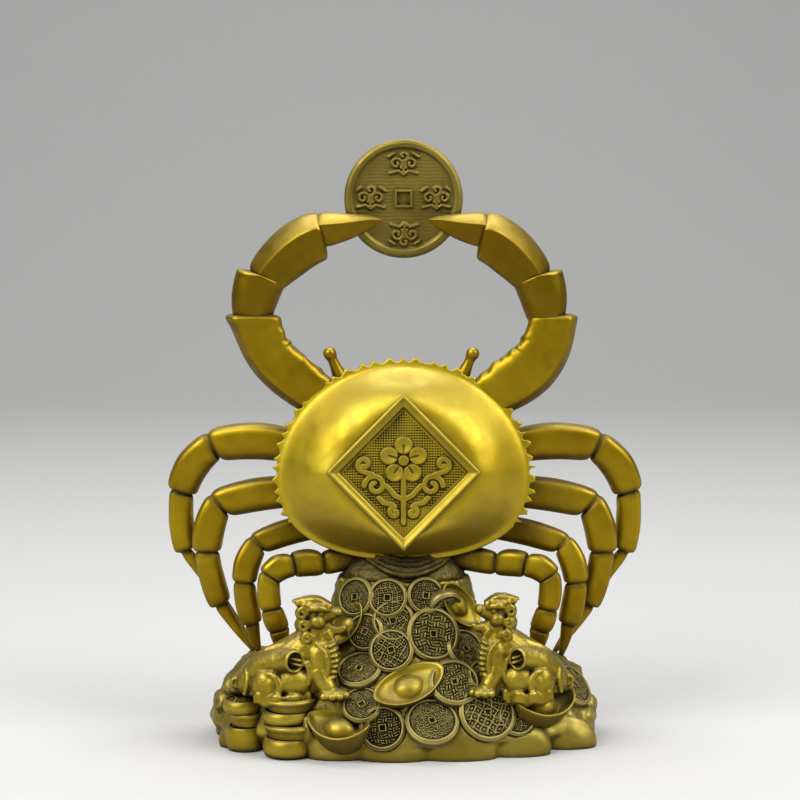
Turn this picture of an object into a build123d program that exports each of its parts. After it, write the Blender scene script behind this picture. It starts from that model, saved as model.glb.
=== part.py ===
"""Brass crab figurine: a crab holding a coin over a mound of coins, ingots and two beasts.

Millimetres. X to the viewer's right, Y away from the viewer, Z up, table at Z = 0.
"""
import os
from math import cos, pi, radians, sin, sqrt

from build123d import *

os.makedirs("parts", exist_ok=True)

# Mound base: an oval skirt with a neck rising from it
mound_half_width = 66.0
mound_half_depth = 39.0
mound_centre_y = 1.0
foot_inset = 4.0
bulge_height = 6.0
slope_height = 17.0
slope_inset = 5.0
shoulder_height = 26.0
shoulder_inset = 11.5
crown_height = 30.0
crown_inset = 26.0
neck_foot_height = 20.0
neck_foot_half_width = 39.0
neck_foot_half_depth = 30.5
neck_waist_height = 36.0
neck_waist_half_width = 26.5
neck_waist_half_depth = 21.5
neck_top_height = 54.0
neck_top_half_width = 22.0
neck_top_half_depth = 14.5
hollow_wall = 6.5
hollow_height = 16.0

# Tail collar between the neck and the shell
collar_half_width = 20.5
collar_half_depth = 13.0
collar_ring_height = 3.2
collar_ring_inset = 2.0
collar_spigot_radius = 8.0
collar_spigot_length = 4.0
collar_lap = 0.4

# Crab shell: an egg outline on a plane that leans back
shell_half_width = 42.6
shell_rise = 38.4
shell_drop = 28.4
shell_centre_y = -1.0
shell_centre_height = 88.0
shell_lean = 8.0
shell_wall = 2.5
rim_thickness = 2.0
dome_height = 15.0
dome_edge_inset = 1.2
dome_flat = 3.0
rim_overhang = 0.8
tooth_count = 38
tooth_depth = 1.6
tooth_gap_angle = 34.0
under_depth = 19.0
under_rim_inset = 2.6
under_flat = 8.0
under_cavity_depth = 12.0
under_cavity_inset = 17.0

# Diamond plaque let into the dome
plaque_half_width = 25.7
plaque_half_height = 25.9
plaque_border = 3.4
plaque_rise = 1.3
plaque_seat_height = 3.5
plaque_frame_height = 13.1
plaque_panel_height = 11.1

# Hatching and blossom on the plaque's panel
hatch_pitch = 3.0
hatch_count = 7
hatch_width = 0.9
hatch_length = 22.0
hatch_depth = 0.6
blossom_radius = 5.0
blossom_petals = 5
petal_radius = 3.4

# Abdomen flap on the back
flap_length = 30.0
flap_foot_width = 24.0
flap_tip_width = 8.0
flap_thickness = 7.0
flap_proud = 1.0
flap_foot_rise = 10.0
flap_groove = 0.8
flap_rings = 5

# Eye stalks
eye_out = 20.4
right_eye_inset = 1.5
eye_up = 30.5
eye_length = 11.0
eye_radius = 1.5
eye_ball_radius = 2.0
eye_spread = 24.0

# Held coin
coin_radius = 19.6
coin_thickness = 4.4
coin_centre_height = 180.4
coin_y = 3.0
coin_rim_width = 2.6
coin_recess = 0.8
coin_hole = 4.0
coin_hole_rim = 1.5
dot_count = 4
dot_radius = 2.2
dot_circle_share = 0.6

# Pegs and sockets that join limbs to the body
peg_radius = 2.2
peg_length = 6.0
seat_clearance = 0.1

# Neck screw
screw_radius = 2.5
screw_head_radius = 4.5
screw_head_height = 3.5
screw_grip = 7.0
screw_socket = 4.0
screw_behind = 3.0
washer_radius = 7.5
washer_thickness = 1.4

# Small coins on the mound
small_coin_thickness = 3.6
small_coin_proud = 1.5
small_coin_rim = 1.1
small_coin_recess = 0.6
small_coin_hole = 2.2

# Limb sections: thickness front to back as a part of the half width across
limb_flatness = 0.78
limb_face_share = 0.62
limb_side_share = 0.4
joint_pinch = 0.74
segment_stations = [(0.16, 0.94), (0.52, 1.0), (0.92, 0.86)]

# Boat ingots
ingot_foot_share = 0.58
ingot_sag = 1.6
ingot_rim = 1.3
ingot_dish = 1.2
ingot_boss_share = 0.34
ingot_boss_sink = 2.0

# Rounding of the dome and under shell, in degrees of a quarter turn, and the finest height step
bowl_turns = (0, 30, 52, 72, 90)
height_step = 0.01

# Planes and small helpers
shell_plane = Plane(
    origin=(0, shell_centre_y, shell_centre_height),
    x_dir=(1, 0, 0),
    z_dir=(0, -cos(radians(shell_lean)), sin(radians(shell_lean))),
)
coin_plane = Plane(origin=(0, coin_y, coin_centre_height), x_dir=(1, 0, 0), z_dir=(0, -1, 0))

skirt_levels = [
    (0.0, mound_half_width - foot_inset, mound_half_depth - foot_inset),
    (bulge_height, mound_half_width, mound_half_depth),
    (slope_height, mound_half_width - slope_inset, mound_half_depth - slope_inset),
    (shoulder_height, mound_half_width - shoulder_inset, mound_half_depth - shoulder_inset),
    (crown_height, mound_half_width - crown_inset, mound_half_depth - crown_inset),
]
neck_levels = [
    (neck_foot_height, neck_foot_half_width, neck_foot_half_depth),
    (neck_waist_height, neck_waist_half_width, neck_waist_half_depth),
    (neck_top_height, neck_top_half_width, neck_top_half_depth),
]


def save(piece, name):
    """Label a finished piece and write its file."""
    piece.part.label = name
    export_step(piece.part, f"parts/{name}.step")


def shell_point(across, up, out):
    """A point in the shell's own frame, given in the object's frame."""
    return shell_plane.from_local_coords(Vector(across, up, out))


def egg(inset, height):
    """The shell's egg outline, drawn in by an inset, at a height above the rim plane."""
    with BuildSketch(shell_plane.offset(height)) as sketch:
        with BuildLine():
            EllipticalCenterArc((0, 0), shell_half_width - inset, shell_rise - inset, 0, arc_size=180)
            EllipticalCenterArc((0, 0), shell_half_width - inset, shell_drop - inset, 180, arc_size=180)
        make_face()
    return sketch.sketch


def oval(height, half_width, half_depth, centre_y=mound_centre_y):
    """A level oval of the mound or collar."""
    with BuildSketch(Plane(origin=(0, centre_y, height))) as sketch:
        Ellipse(half_width, half_depth)
    return sketch.sketch


def level_sizes(levels, height):
    """Half width and half depth of a stack of ovals at a height, or None outside it."""
    for (low, width_low, depth_low), (high, width_high, depth_high) in zip(levels, levels[1:]):
        if low <= height <= high:
            share = (height - low) / (high - low)
            half_width = width_low + share * (width_high - width_low)
            half_depth = depth_low + share * (depth_high - depth_low)
            return half_width, half_depth
    return None


def mound_reach(x, height):
    """How far the mound's surface stands from its middle plane, at a place across and a height."""
    reach = 0.0
    for levels in (skirt_levels, neck_levels):
        sizes = level_sizes(levels, height)
        if sizes and abs(x) < sizes[0]:
            reach = max(reach, sizes[1] * sqrt(1 - (x / sizes[0]) ** 2))
    return reach


def mound_top(x, y):
    """Height of the mound's surface above a point of the table."""
    low = bulge_height
    high = neck_top_height
    while high - low > height_step:
        middle = (low + high) / 2
        if mound_reach(x, middle) > abs(y - mound_centre_y):
            low = middle
        else:
            high = middle
    return low


def seat_plane(x, height, face=-1, lift=0.0, turn=0.0):
    """A plane lying on the mound's front (face -1) or back (face 1), tipped up by lift."""
    step = 0.5
    slope_x = (mound_reach(x + step, height) - mound_reach(x - step, height)) / (2 * step)
    slope_z = (mound_reach(x, height + step) - mound_reach(x, height - step)) / (2 * step)
    normal = Vector(-slope_x, face, -slope_z).normalized() + Vector(0, 0, lift)
    origin = (x, mound_centre_y + face * mound_reach(x, height), height)
    flat = Plane(origin=origin, x_dir=(-normal.Y, normal.X, 0), z_dir=normal)
    return flat.rotated((0, 0, turn))


def limb_section(centre, direction, half_width, half_depth):
    """An eight-sided section across a limb."""
    x_dir = (direction.Z, 0, -direction.X)
    face = limb_face_share * half_width
    side = limb_side_share * half_depth
    with BuildSketch(Plane(origin=centre, x_dir=x_dir, z_dir=direction)) as sketch:
        Polygon(
            (half_width, -side),
            (half_width, side),
            (face, half_depth),
            (-face, half_depth),
            (-half_width, side),
            (-half_width, -side),
            (-face, -half_depth),
            (face, -half_depth),
            align=None,
        )
    return sketch.sketch


def limb(points, widths, flatness=limb_flatness, end_direction=None):
    """Ruled loft through eight-sided sections at each point of a limb."""
    sections = []
    for index, point in enumerate(points):
        before = points[max(index - 1, 0)]
        after = points[min(index + 1, len(points) - 1)]
        direction = (after - before).normalized()
        if end_direction and after is point:
            direction = end_direction
        sections.append(limb_section(point, direction, widths[index], flatness * widths[index]))
    with BuildPart() as shape:
        loft(sections, ruled=True)
    return shape.part


def jointed_limb(joints, bulges, tip_width):
    """A limb of swelling segments with a pinched groove at each joint."""
    points = []
    widths = []
    for index, bulge in enumerate(bulges):
        start = joints[index]
        end = joints[index + 1]
        points.append(start)
        widths.append(joint_pinch * min(bulge, bulges[max(index - 1, 0)]))
        for share, fullness in segment_stations:
            points.append(start + (end - start) * share)
            widths.append(fullness * bulge)
    points[-1] = joints[-1]
    widths[-1] = tip_width
    return limb(points, widths)


def near(one, other):
    """True where the boxes of two solids meet."""
    box = one.bounding_box()
    rest = other.bounding_box()
    return (
        box.min.X < rest.max.X
        and box.max.X > rest.min.X
        and box.min.Y < rest.max.Y
        and box.max.Y > rest.min.Y
        and box.min.Z < rest.max.Z
        and box.max.Z > rest.min.Z
    )


def cut_by(piece, others):
    """A piece with every neighbour that reaches into it taken away, its largest lump kept."""
    with BuildPart() as trimmed:
        add(piece)
        for other in others:
            if near(trimmed.part, other):
                add(other, mode=Mode.SUBTRACT)
    with BuildPart() as largest:
        add(trimmed.part.solids().sort_by(SortBy.VOLUME)[-1])
    return largest.part


def peg(root, inward, radius=peg_radius):
    """A round peg from a limb's root into its socket."""
    with BuildPart(Plane(origin=root, z_dir=inward)) as shape:
        Cylinder(radius, 2 * peg_length)
    return shape.part


# Blanks: the plain bodies that other pieces are fitted to
with BuildPart() as mound_blank:
    loft([oval(*level) for level in skirt_levels], ruled=True)
    loft([oval(*level) for level in neck_levels], ruled=True)


def bowl(edge_inset, flat, height):
    """Egg outlines that round over from the rim to a small flat, up to a height."""
    run = shell_drop - edge_inset - flat
    outlines = []
    for turn in bowl_turns:
        angle = radians(turn)
        outlines.append(egg(edge_inset + run * (1 - cos(angle)), height * sin(angle)))
    return outlines


with BuildPart() as dome_blank:
    loft(bowl(dome_edge_inset, dome_flat, dome_height))

with BuildPart() as under_blank:
    loft(bowl(under_rim_inset, under_flat, -under_depth))

collar_top = shell_centre_height - shell_drop / 2
collar_mid_height = (neck_top_height + shell_centre_height - shell_drop) / 2
with BuildPart() as collar_blank:
    loft([
        oval(neck_top_height, neck_top_half_width + collar_lap, neck_top_half_depth + collar_lap),
        oval(neck_top_height + collar_ring_height, collar_half_width, collar_half_depth),
        oval(collar_mid_height + collar_ring_height, collar_half_width - collar_ring_inset,
             collar_half_depth - collar_ring_inset),
        oval(collar_top, collar_half_width, collar_half_depth - collar_ring_inset),
    ], ruled=True)

# Carapace with its toothed rim
rim_points = []
for index in range(2 * tooth_count + 1):
    span = 360 - 2 * tooth_gap_angle
    angle = radians(-90 + tooth_gap_angle + span * index / (2 * tooth_count))
    height = shell_rise if sin(angle) > 0 else shell_drop
    stand = rim_overhang - (0.0 if index % 2 else tooth_depth)
    rim_points.append(((shell_half_width + stand) * cos(angle), (height + stand) * sin(angle)))

plaque_centre = shell_point(0, plaque_rise, plaque_seat_height)
plaque_plane = Plane(origin=plaque_centre, x_dir=(1, 0, 0), z_dir=shell_plane.z_dir)


def diamond(inset, height):
    """The plaque's diamond, drawn in by an inset from its edges, at a height over its seat."""
    edge_length = sqrt(plaque_half_width ** 2 + plaque_half_height ** 2)
    half_width = plaque_half_width - inset * edge_length / plaque_half_height
    half_height = plaque_half_height - inset * edge_length / plaque_half_width
    with BuildSketch(plaque_plane.offset(height)) as sketch:
        Polygon((half_width, 0), (0, half_height), (-half_width, 0), (0, -half_height), align=None)
    return sketch.sketch


with BuildPart() as carapace:
    add(dome_blank.part)
    with BuildSketch(shell_plane):
        with BuildLine():
            Polyline(*rim_points)
            EllipticalCenterArc(
                (0, 0),
                shell_half_width + rim_overhang - tooth_depth,
                shell_drop + rim_overhang - tooth_depth,
                270 - tooth_gap_angle,
                arc_size=2 * tooth_gap_angle,
            )
        make_face()
    extrude(amount=rim_thickness)
    extrude(diamond(-seat_clearance, 0), amount=dome_height, mode=Mode.SUBTRACT)
save(carapace, "carapace")

# Plaque: a frame with a sloping inner edge round a hatched panel with a blossom
with BuildPart() as plaque_frame:
    extrude(diamond(0, 0), amount=plaque_frame_height)
    extrude(diamond(plaque_border, 0), amount=plaque_frame_height, mode=Mode.SUBTRACT)
    rim_edges = plaque_frame.faces().sort_by(Axis(plaque_centre, shell_plane.z_dir))[-1].edges()
    chamfer(rim_edges, plaque_border / 4)
save(plaque_frame, "plaque_frame")

with BuildPart() as plaque_panel:
    extrude(diamond(plaque_border + seat_clearance, 0), amount=plaque_panel_height)
    with BuildSketch(plaque_plane.offset(plaque_panel_height)):
        with Locations(Location((0, 0, 0), (0, 0, 45))):
            with GridLocations(hatch_pitch, 0, hatch_count, 1):
                Rectangle(hatch_width, hatch_length)
    extrude(amount=-hatch_depth, mode=Mode.SUBTRACT)
    with BuildSketch(plaque_plane.offset(plaque_panel_height - hatch_depth)):
        with PolarLocations(blossom_radius, blossom_petals):
            Circle(petal_radius)
        Circle(petal_radius)
    extrude(amount=2 * hatch_depth)
save(plaque_panel, "plaque_panel")

# Legs: joints given as reach beyond the shell's edge, distance behind its rim and height
# above its widest line; the tip rests on the mound, set in from the mound's widest half width
# and so far behind its middle
leg_rows = [
    {
        "root": (-8.0, 10.0, 8.2),
        "joints": [(21.8, 13.0, 8.8), (33.0, 15.0, -7.4), (31.8, 15.0, -28.0)],
        "tip": (16.5, 11.0),
        "bulges": [6.0, 5.6, 4.1, 1.6],
        "right_reach": 1.0,
    },
    {
        "root": (-9.0, 9.0, -6.5),
        "joints": [(20.0, 7.0, -10.4), (24.0, 7.0, -26.6), (19.6, 9.0, -45.4)],
        "tip": (16.0, 6.5),
        "bulges": [5.5, 5.3, 4.0, 1.7],
        "right_reach": 0.8,
    },
    {
        "root": (-16.0, 10.0, -18.4),
        "joints": [(6.8, 2.0, -23.3), (11.0, 0.0, -36.0), (8.5, 2.0, -50.4)],
        "tip": (17.5, 1.5),
        "bulges": [4.2, 4.4, 3.8, 1.9],
        "right_reach": 4.5,
    },
    {
        "root": (-21.0, 2.0, -28.8),
        "joints": [(-5.6, -4.6, -29.2), (2.2, -7.0, -32.6), (1.5, -7.0, -43.6), (-1.0, -5.5, -50.8)],
        "tip": (26.0, -6.5),
        "bulges": [4.2, 4.2, 3.6, 3.6, 2.9],
        "right_reach": 4.0,
    },
]
leg_tip_width = 0.6
tip_sink = 1.5


def leg_points(row, side):
    """Root, joints and tip of a leg; side is -1 on the left and 1 on the right."""
    extra = row["right_reach"] if side > 0 else 0.0
    points = []
    for out, behind, up in [row["root"]] + row["joints"]:
        reach = shell_half_width + out + (extra if points else 0.0)
        points.append(Vector(side * reach, shell_centre_y + behind, shell_centre_height + up))
    inset, behind = row["tip"]
    tip_x = side * (mound_half_width - inset + extra)
    tip_y = mound_centre_y + behind
    points.append(Vector(tip_x, tip_y, mound_top(tip_x, tip_y) - tip_sink))
    return points


# Claws: places given as reach beyond the coin's grip point, distance behind the coin's middle
# and height above the coin's centre; the right claw stands in a little more than the left
grip_drop = 8.0
right_claw_share = 0.91
grip_reach = sqrt(coin_radius ** 2 - grip_drop ** 2)
wrist_row = [
    (33.2, 3.0, -40.4, 7.4),
    (31.8, 3.0, -33.6, 8.0),
    (29.6, 3.0, -26.4, 8.6),
    (26.0, 2.0, -22.4, 6.4),
]
palm_row = [
    (28.0, 2.0, -25.2, 5.8),
    (20.8, 1.0, -17.4, 7.8),
    (13.4, 0.0, -12.4, 7.6),
    (8.2, 0.0, -11.2, 7.4),
]
finger_row = [
    (9.0, -0.6, -10.2, 5.6),
    (4.0, -2.4, -9.6, 5.2),
    (-1.6, -4.2, -8.6, 4.2),
    (-7.4, -5.0, -6.9, 2.1),
    (-10.6, -4.6, -7.0, 0.5),
]
arm_root = (-18.0, 8.0, 23.0)
arm_shares = [0.0, 0.43, 0.74, 1.0]
arm_widths = [5.4, 7.6, 8.9, 10.2]
arm_bow = 3.6
arm_lap = 2.0


def claw_points(row, side):
    """Places along one claw piece, with its half widths."""
    share = right_claw_share if side > 0 else 1.0
    points = []
    widths = []
    for out, behind, up, width in row:
        points.append(Vector(side * (grip_reach + share * out), coin_y + behind, coin_centre_height + up))
        widths.append(width)
    return points, widths


def arm_points(side):
    """The upper arm from the body to the wrist, bowed a little outwards."""
    out, behind, up = arm_root
    start = Vector(side * (shell_half_width + out), shell_centre_y + behind, shell_centre_height + up)
    end = claw_points(wrist_row, side)[0][0] + Vector(0, 0, arm_lap)
    points = []
    for share in arm_shares:
        bow = Vector(side * arm_bow, 0, -arm_bow) * sin(pi * share)
        points.append(start + (end - start) * share + bow)
    return points


# Held coin with a raised rim and a rimmed square hole, worked on both faces
with BuildPart() as coin_blank:
    with BuildSketch(coin_plane.offset(-coin_thickness / 2)):
        Circle(coin_radius)
    extrude(amount=coin_thickness)

with BuildPart() as top_coin:
    add(coin_blank.part)
    for face in (1, -1):
        face_plane = coin_plane.offset(face * coin_thickness / 2)
        with BuildSketch(face_plane):
            Circle(coin_radius - coin_rim_width)
            Rectangle(coin_hole + 2 * coin_hole_rim, coin_hole + 2 * coin_hole_rim, mode=Mode.SUBTRACT)
        extrude(amount=-face * coin_recess, mode=Mode.SUBTRACT)
        with BuildSketch(face_plane.offset(-face * coin_recess)):
            with PolarLocations((coin_radius - coin_rim_width) * dot_circle_share, dot_count):
                Circle(dot_radius)
        extrude(amount=face * coin_recess)
    with BuildSketch(coin_plane):
        Rectangle(coin_hole, coin_hole)
    extrude(amount=coin_thickness, both=True, mode=Mode.SUBTRACT)
save(top_coin, "top_coin")

# Treasure on the mound: boat ingots, coin stacks and small coins


def ingot(plane, length, width, height):
    """A boat ingot: an oval hull with raised ends, a dished top and a round boss."""
    sweep_radius = length ** 2 / (8 * ingot_sag)
    with BuildPart() as shape:
        with BuildSketch(plane.offset(-height)):
            Ellipse(ingot_foot_share * length / 2, ingot_foot_share * width / 2)
        with BuildSketch(plane):
            Ellipse(length / 2, width / 2)
        loft()
        with BuildSketch(Plane(origin=plane.origin, x_dir=plane.x_dir, z_dir=-plane.y_dir)):
            with Locations((0, sweep_radius - ingot_sag)):
                Circle(sweep_radius)
        extrude(amount=width, both=True, mode=Mode.SUBTRACT)
        with BuildSketch(plane.offset(-ingot_sag)):
            Ellipse(length / 2 - 2 * ingot_rim, width / 2 - ingot_rim)
        with BuildSketch(plane.offset(-ingot_sag - ingot_dish)):
            Ellipse(length / 2 - 4 * ingot_rim, width / 2 - 2 * ingot_rim)
        loft(mode=Mode.SUBTRACT)
        with BuildSketch(plane.offset(-ingot_sag)):
            Ellipse(length / 2 - 2 * ingot_rim, width / 2 - ingot_rim)
        extrude(amount=ingot_sag, mode=Mode.SUBTRACT)
    boss_plane = plane.offset(-ingot_sag - ingot_dish - ingot_boss_sink)
    with BuildPart(boss_plane) as boss:
        Sphere(ingot_boss_share * width)
    with BuildPart() as whole:
        add(shape.part)
        add(boss.part)
    return whole.part


def coin_disc(plane, radius, clearance=0.0):
    """The plain disc of a small coin, sunk in the mound and standing a little proud."""
    with BuildPart() as shape:
        with BuildSketch(plane.offset(small_coin_proud - small_coin_thickness)):
            Circle(radius + clearance)
        extrude(amount=small_coin_thickness)
    return shape.part


def small_coin(plane, radius):
    """A small coin: a disc with a dished face, a raised rim and a square hole."""
    with BuildPart() as shape:
        add(coin_disc(plane, radius))
        with BuildSketch(plane.offset(small_coin_proud)):
            Circle(radius - small_coin_rim)
            Rectangle(2 * small_coin_hole, 2 * small_coin_hole, mode=Mode.SUBTRACT)
        extrude(amount=-small_coin_recess, mode=Mode.SUBTRACT)
        with BuildSketch(plane.offset(small_coin_proud)):
            Rectangle(small_coin_hole, small_coin_hole)
        extrude(amount=-2 * small_coin_recess, mode=Mode.SUBTRACT)
    return shape.part


def coin_stack(x, inset, radius, thicknesses, shifts):
    """Cushion-edged coins piled on the table at the mound's edge, each a little off the last."""
    centre_y = mound_centre_y - mound_reach(x, bulge_height) + inset
    height = 0.0
    with BuildPart() as shape:
        for thickness, shift in zip(thicknesses, shifts):
            with BuildSketch(Plane(origin=(x + shift, centre_y - shift / 2, height))):
                Circle(radius)
            extrude(amount=thickness)
            height += thickness
        fillet(shape.edges().filter_by(GeomType.CIRCLE).group_by(Axis.Z)[-1], min(thicknesses) / 4)
    return shape.part


seated = []

large_stack = coin_stack(-37.5, 3.5, 8.7, [6.4, 4.6, 4.4, 4.2], [0.0, 0.7, -0.6, 0.4])
small_stack = coin_stack(-52.4, 2.0, 6.4, [8.0, 4.6, 4.4], [0.0, 0.5, -0.7])
with BuildPart() as coin_stack_large:
    add(large_stack)
save(coin_stack_large, "coin_stack_large")
seated.append(coin_stack_large.part)
with BuildPart() as coin_stack_small:
    add(cut_by(small_stack, seated))
save(coin_stack_small, "coin_stack_small")
seated.append(coin_stack_small.part)

ingot_rows = [
    ("front_ingot", dict(x=1.6, height=22.6, lift=0.35, turn=30.0), (26.0, 14.0, 7.5)),
    ("left_ingot", dict(x=-20.8, height=9.5, lift=1.6, turn=-14.0), (22.0, 15.0, 11.0)),
    ("right_ingot", dict(x=45.5, height=14.5, lift=1.4, turn=4.0), (24.0, 15.0, 11.0)),
    ("upper_right_ingot", dict(x=18.0, height=46.0, lift=0.0, turn=-52.0), (19.0, 11.0, 6.0)),
    ("upper_left_ingot", dict(x=-18.5, height=39.5, lift=0.2, turn=62.0), (18.0, 10.0, 6.0)),
    ("back_ingot", dict(x=6.0, height=22.0, face=1, lift=0.6, turn=-20.0), (22.5, 13.5, 7.5)),
]
for name, place, (length, width, height) in ingot_rows:
    with BuildPart() as boat:
        add(cut_by(ingot(seat_plane(**place).offset(height / 3), length, width, height), seated))
    save(boat, name)
    seated.append(boat.part)

coin_rows = [
    ("coin_front_low", dict(x=-6.8, height=10.8, lift=0.0, turn=8.0), 7.4),
    ("coin_front_flat", dict(x=9.2, height=12.6, lift=0.6, turn=20.0), 8.8),
    ("coin_front_right", dict(x=27.2, height=14.6, lift=0.1, turn=-6.0), 9.6),
    ("coin_middle_right", dict(x=16.6, height=23.6, lift=0.2, turn=12.0), 8.4),
    ("coin_middle_left", dict(x=-14.5, height=27.0, lift=0.3, turn=-15.0), 7.6),
    ("coin_middle", dict(x=-4.0, height=33.2, lift=0.0, turn=20.0), 7.4),
    ("coin_upper_middle", dict(x=9.6, height=38.0, lift=0.0, turn=-4.0), 9.0),
    ("coin_top_left", dict(x=-15.6, height=49.0, lift=0.0, turn=10.0), 6.6),
    ("coin_top_middle", dict(x=-5.2, height=49.4, lift=0.0, turn=0.0), 6.6),
    ("coin_top_right", dict(x=7.2, height=50.0, lift=0.0, turn=-8.0), 6.2),
    ("coin_side_right", dict(x=56.5, height=18.6, lift=0.1, turn=6.0), 7.6),
    ("coin_back_low", dict(x=-18.0, height=13.0, face=1, lift=0.1, turn=12.0), 9.4),
    ("coin_back_right", dict(x=27.0, height=14.0, face=1, lift=0.1, turn=-10.0), 9.0),
    ("coin_back_middle", dict(x=-6.0, height=30.0, face=1, lift=0.0, turn=5.0), 8.4),
    ("coin_back_top", dict(x=5.0, height=44.0, face=1, lift=0.0, turn=-12.0), 8.0),
]
for name, place, radius in coin_rows:
    with BuildPart() as coin:
        add(cut_by(small_coin(seat_plane(**place), radius), seated))
    save(coin, name)
    seated.append(coin_disc(seat_plane(**place), radius, seat_clearance))

# Beasts: a body from rump to snout, a foreleg, haunch, wing, jaw and chest, cut to the mound;
# places across, from the mound's middle and up, each with a half width or radius
beast_body = [
    (-53.5, -17.5, 21.0, 4.2),
    (-48.5, -20.0, 25.0, 7.4),
    (-42.5, -22.0, 28.0, 8.4),
    (-36.5, -23.5, 32.5, 8.2),
    (-33.0, -23.5, 38.0, 6.6),
    (-31.0, -23.5, 43.0, 6.0),
    (-27.5, -23.8, 47.0, 5.8),
    (-20.0, -24.6, 47.0, 3.2),
]
beast_foreleg = [
    (-29.0, -28.0, 34.0, 4.8),
    (-26.4, -29.8, 28.5, 4.2),
    (-26.0, -31.4, 22.0, 3.4),
    (-24.0, -33.4, 18.4, 2.6),
]
beast_haunch = (-44.0, -28.0, 23.8, 6.2)
beast_belly = (-36.8, -26.6, 25.0, 6.4)
beast_wing = (-36.0, -29.6, 32.4, 4.2)
beast_jaw = (-24.5, -24.4, 43.6, 3.4)
beast_chest = (-28.6, -25.0, 35.0, 6.8)
beast_flatness = 0.9
beast_snout_x = -19.3
right_beast_share = 0.88
right_beast_shift = Vector(3.5, 0.4, 0.8)


def beast(side, share, shift):
    """A seated beast facing the middle, drawn on the left; the right one is mirrored and shorter."""
    def place(row):
        across = beast_snout_x + share * (row[0] - beast_snout_x)
        return Vector(-side * across, mound_centre_y + row[1], row[2]) + shift

    with BuildPart() as shape:
        for row in (beast_body, beast_foreleg):
            add(limb([place(spot) for spot in row], [spot[3] for spot in row], flatness=beast_flatness))
        for spot in (beast_haunch, beast_belly, beast_wing, beast_jaw, beast_chest):
            with Locations(place(spot)):
                Sphere(spot[3])
    return shape.part


beasts = {}
beast_rows = [
    ("left_beast", -1, 1.0, Vector(0, 0, 0)),
    ("right_beast", 1, right_beast_share, right_beast_shift),
]
for name, side, share, shift in beast_rows:
    with BuildPart() as figure:
        add(cut_by(beast(side, share, shift), [mound_blank.part] + seated))
    save(figure, name)
    beasts[name] = figure.part

# Legs, cut to the body, the mound and the beasts, with pegs into the body
sockets = []
body_blanks = [under_blank.part, collar_blank.part, dome_blank.part, mound_blank.part]
leg_solids = []
for side, side_name in ((-1, "left"), (1, "right")):
    for number, row in enumerate(leg_rows, start=1):
        joints = leg_points(row, side)
        shape = jointed_limb(joints, row["bulges"], leg_tip_width)
        inward = (joints[0] - joints[1]).normalized()
        root = joints[0] + inward * (peg_length / 2)
        with BuildPart() as leg:
            add(cut_by(shape, body_blanks + seated + list(beasts.values()) + leg_solids))
            add(peg(root, inward))
        save(leg, f"{side_name}_leg_{number}")
        leg_solids.append(leg.part)
        sockets.append(peg(root, inward, peg_radius + seat_clearance))

# Claws: arm, wrist, palm with its fixed finger, and the finger that grips the coin
for side, side_name in ((-1, "left"), (1, "right")):
    finger_points, finger_widths = claw_points(finger_row, side)
    with BuildPart() as finger:
        add(cut_by(limb(finger_points, finger_widths), [coin_blank.part]))
    save(finger, f"{side_name}_claw_finger")

    palm_points, palm_widths = claw_points(palm_row, side)
    with BuildPart() as palm:
        add(cut_by(limb(palm_points, palm_widths), [finger.part, coin_blank.part]))
    save(palm, f"{side_name}_claw_palm")

    wrist_points, wrist_widths = claw_points(wrist_row, side)
    with BuildPart() as wrist:
        add(cut_by(limb(wrist_points, wrist_widths), [palm.part]))
    save(wrist, f"{side_name}_claw_wrist")

    bend = arm_points(side)
    inward = (bend[0] - bend[1]).normalized()
    root = bend[0] + inward * (peg_length / 2)
    upper_arm = limb(bend, arm_widths, end_direction=Vector(0, 0, 1))
    with BuildPart() as arm:
        add(cut_by(upper_arm, [wrist.part, carapace.part] + body_blanks + leg_solids))
        add(peg(root, inward))
    save(arm, f"{side_name}_claw_arm")
    sockets.append(peg(root, inward, peg_radius + seat_clearance))

# Eye stalks with a ball on a tapering stem
for side, side_name in ((-1, "left"), (1, "right")):
    lean = Vector(side * sin(radians(eye_spread)), 0, cos(radians(eye_spread)))
    inset = right_eye_inset if side > 0 else 0.0
    root = shell_point(side * (eye_out - inset), eye_up, -under_depth / 3)
    stem = Plane(origin=root, z_dir=lean)
    with BuildPart(stem) as stalk:
        Cylinder(eye_radius, eye_length, align=(Align.CENTER, Align.CENTER, Align.MIN))
        with Locations((0, 0, eye_length)):
            Sphere(eye_ball_radius)
    save(stalk, f"{side_name}_eye")
    with BuildPart(stem) as hole:
        Cylinder(eye_radius + seat_clearance, 2 * eye_length)
    sockets.append(hole.part)

# Abdomen flap, a tapering ringed plate let into the back of the under shell
flap_plane = Plane(
    origin=shell_point(0, -shell_drop + flap_foot_rise, -under_depth - flap_proud),
    x_dir=(1, 0, 0),
    z_dir=shell_plane.z_dir,
)
with BuildPart() as flap_blank:
    with BuildSketch(flap_plane):
        Polygon(
            (-flap_foot_width / 2, 0),
            (flap_foot_width / 2, 0),
            (flap_tip_width / 2, flap_length),
            (-flap_tip_width / 2, flap_length),
            align=None,
        )
    extrude(amount=flap_thickness)
with BuildPart() as abdomen_flap:
    add(flap_blank.part)
    for ring in range(1, flap_rings):
        with BuildSketch(flap_plane):
            with Locations((0, flap_length * ring / flap_rings)):
                Rectangle(flap_foot_width, flap_groove)
        extrude(amount=flap_groove, mode=Mode.SUBTRACT)
save(abdomen_flap, "abdomen_flap")

# Neck screw and washer, from the hollow of the base up into the under shell
screw_top = shell_centre_height - shell_drop + screw_grip + shell_wall
screw_y = mound_centre_y + screw_behind
washer_plane = Plane(origin=(0, screw_y, hollow_height - washer_thickness))
with BuildPart() as neck_washer:
    with BuildSketch(washer_plane):
        Circle(washer_radius)
        Circle(screw_radius + 2 * seat_clearance, mode=Mode.SUBTRACT)
    extrude(amount=washer_thickness)
save(neck_washer, "neck_washer")

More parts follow.
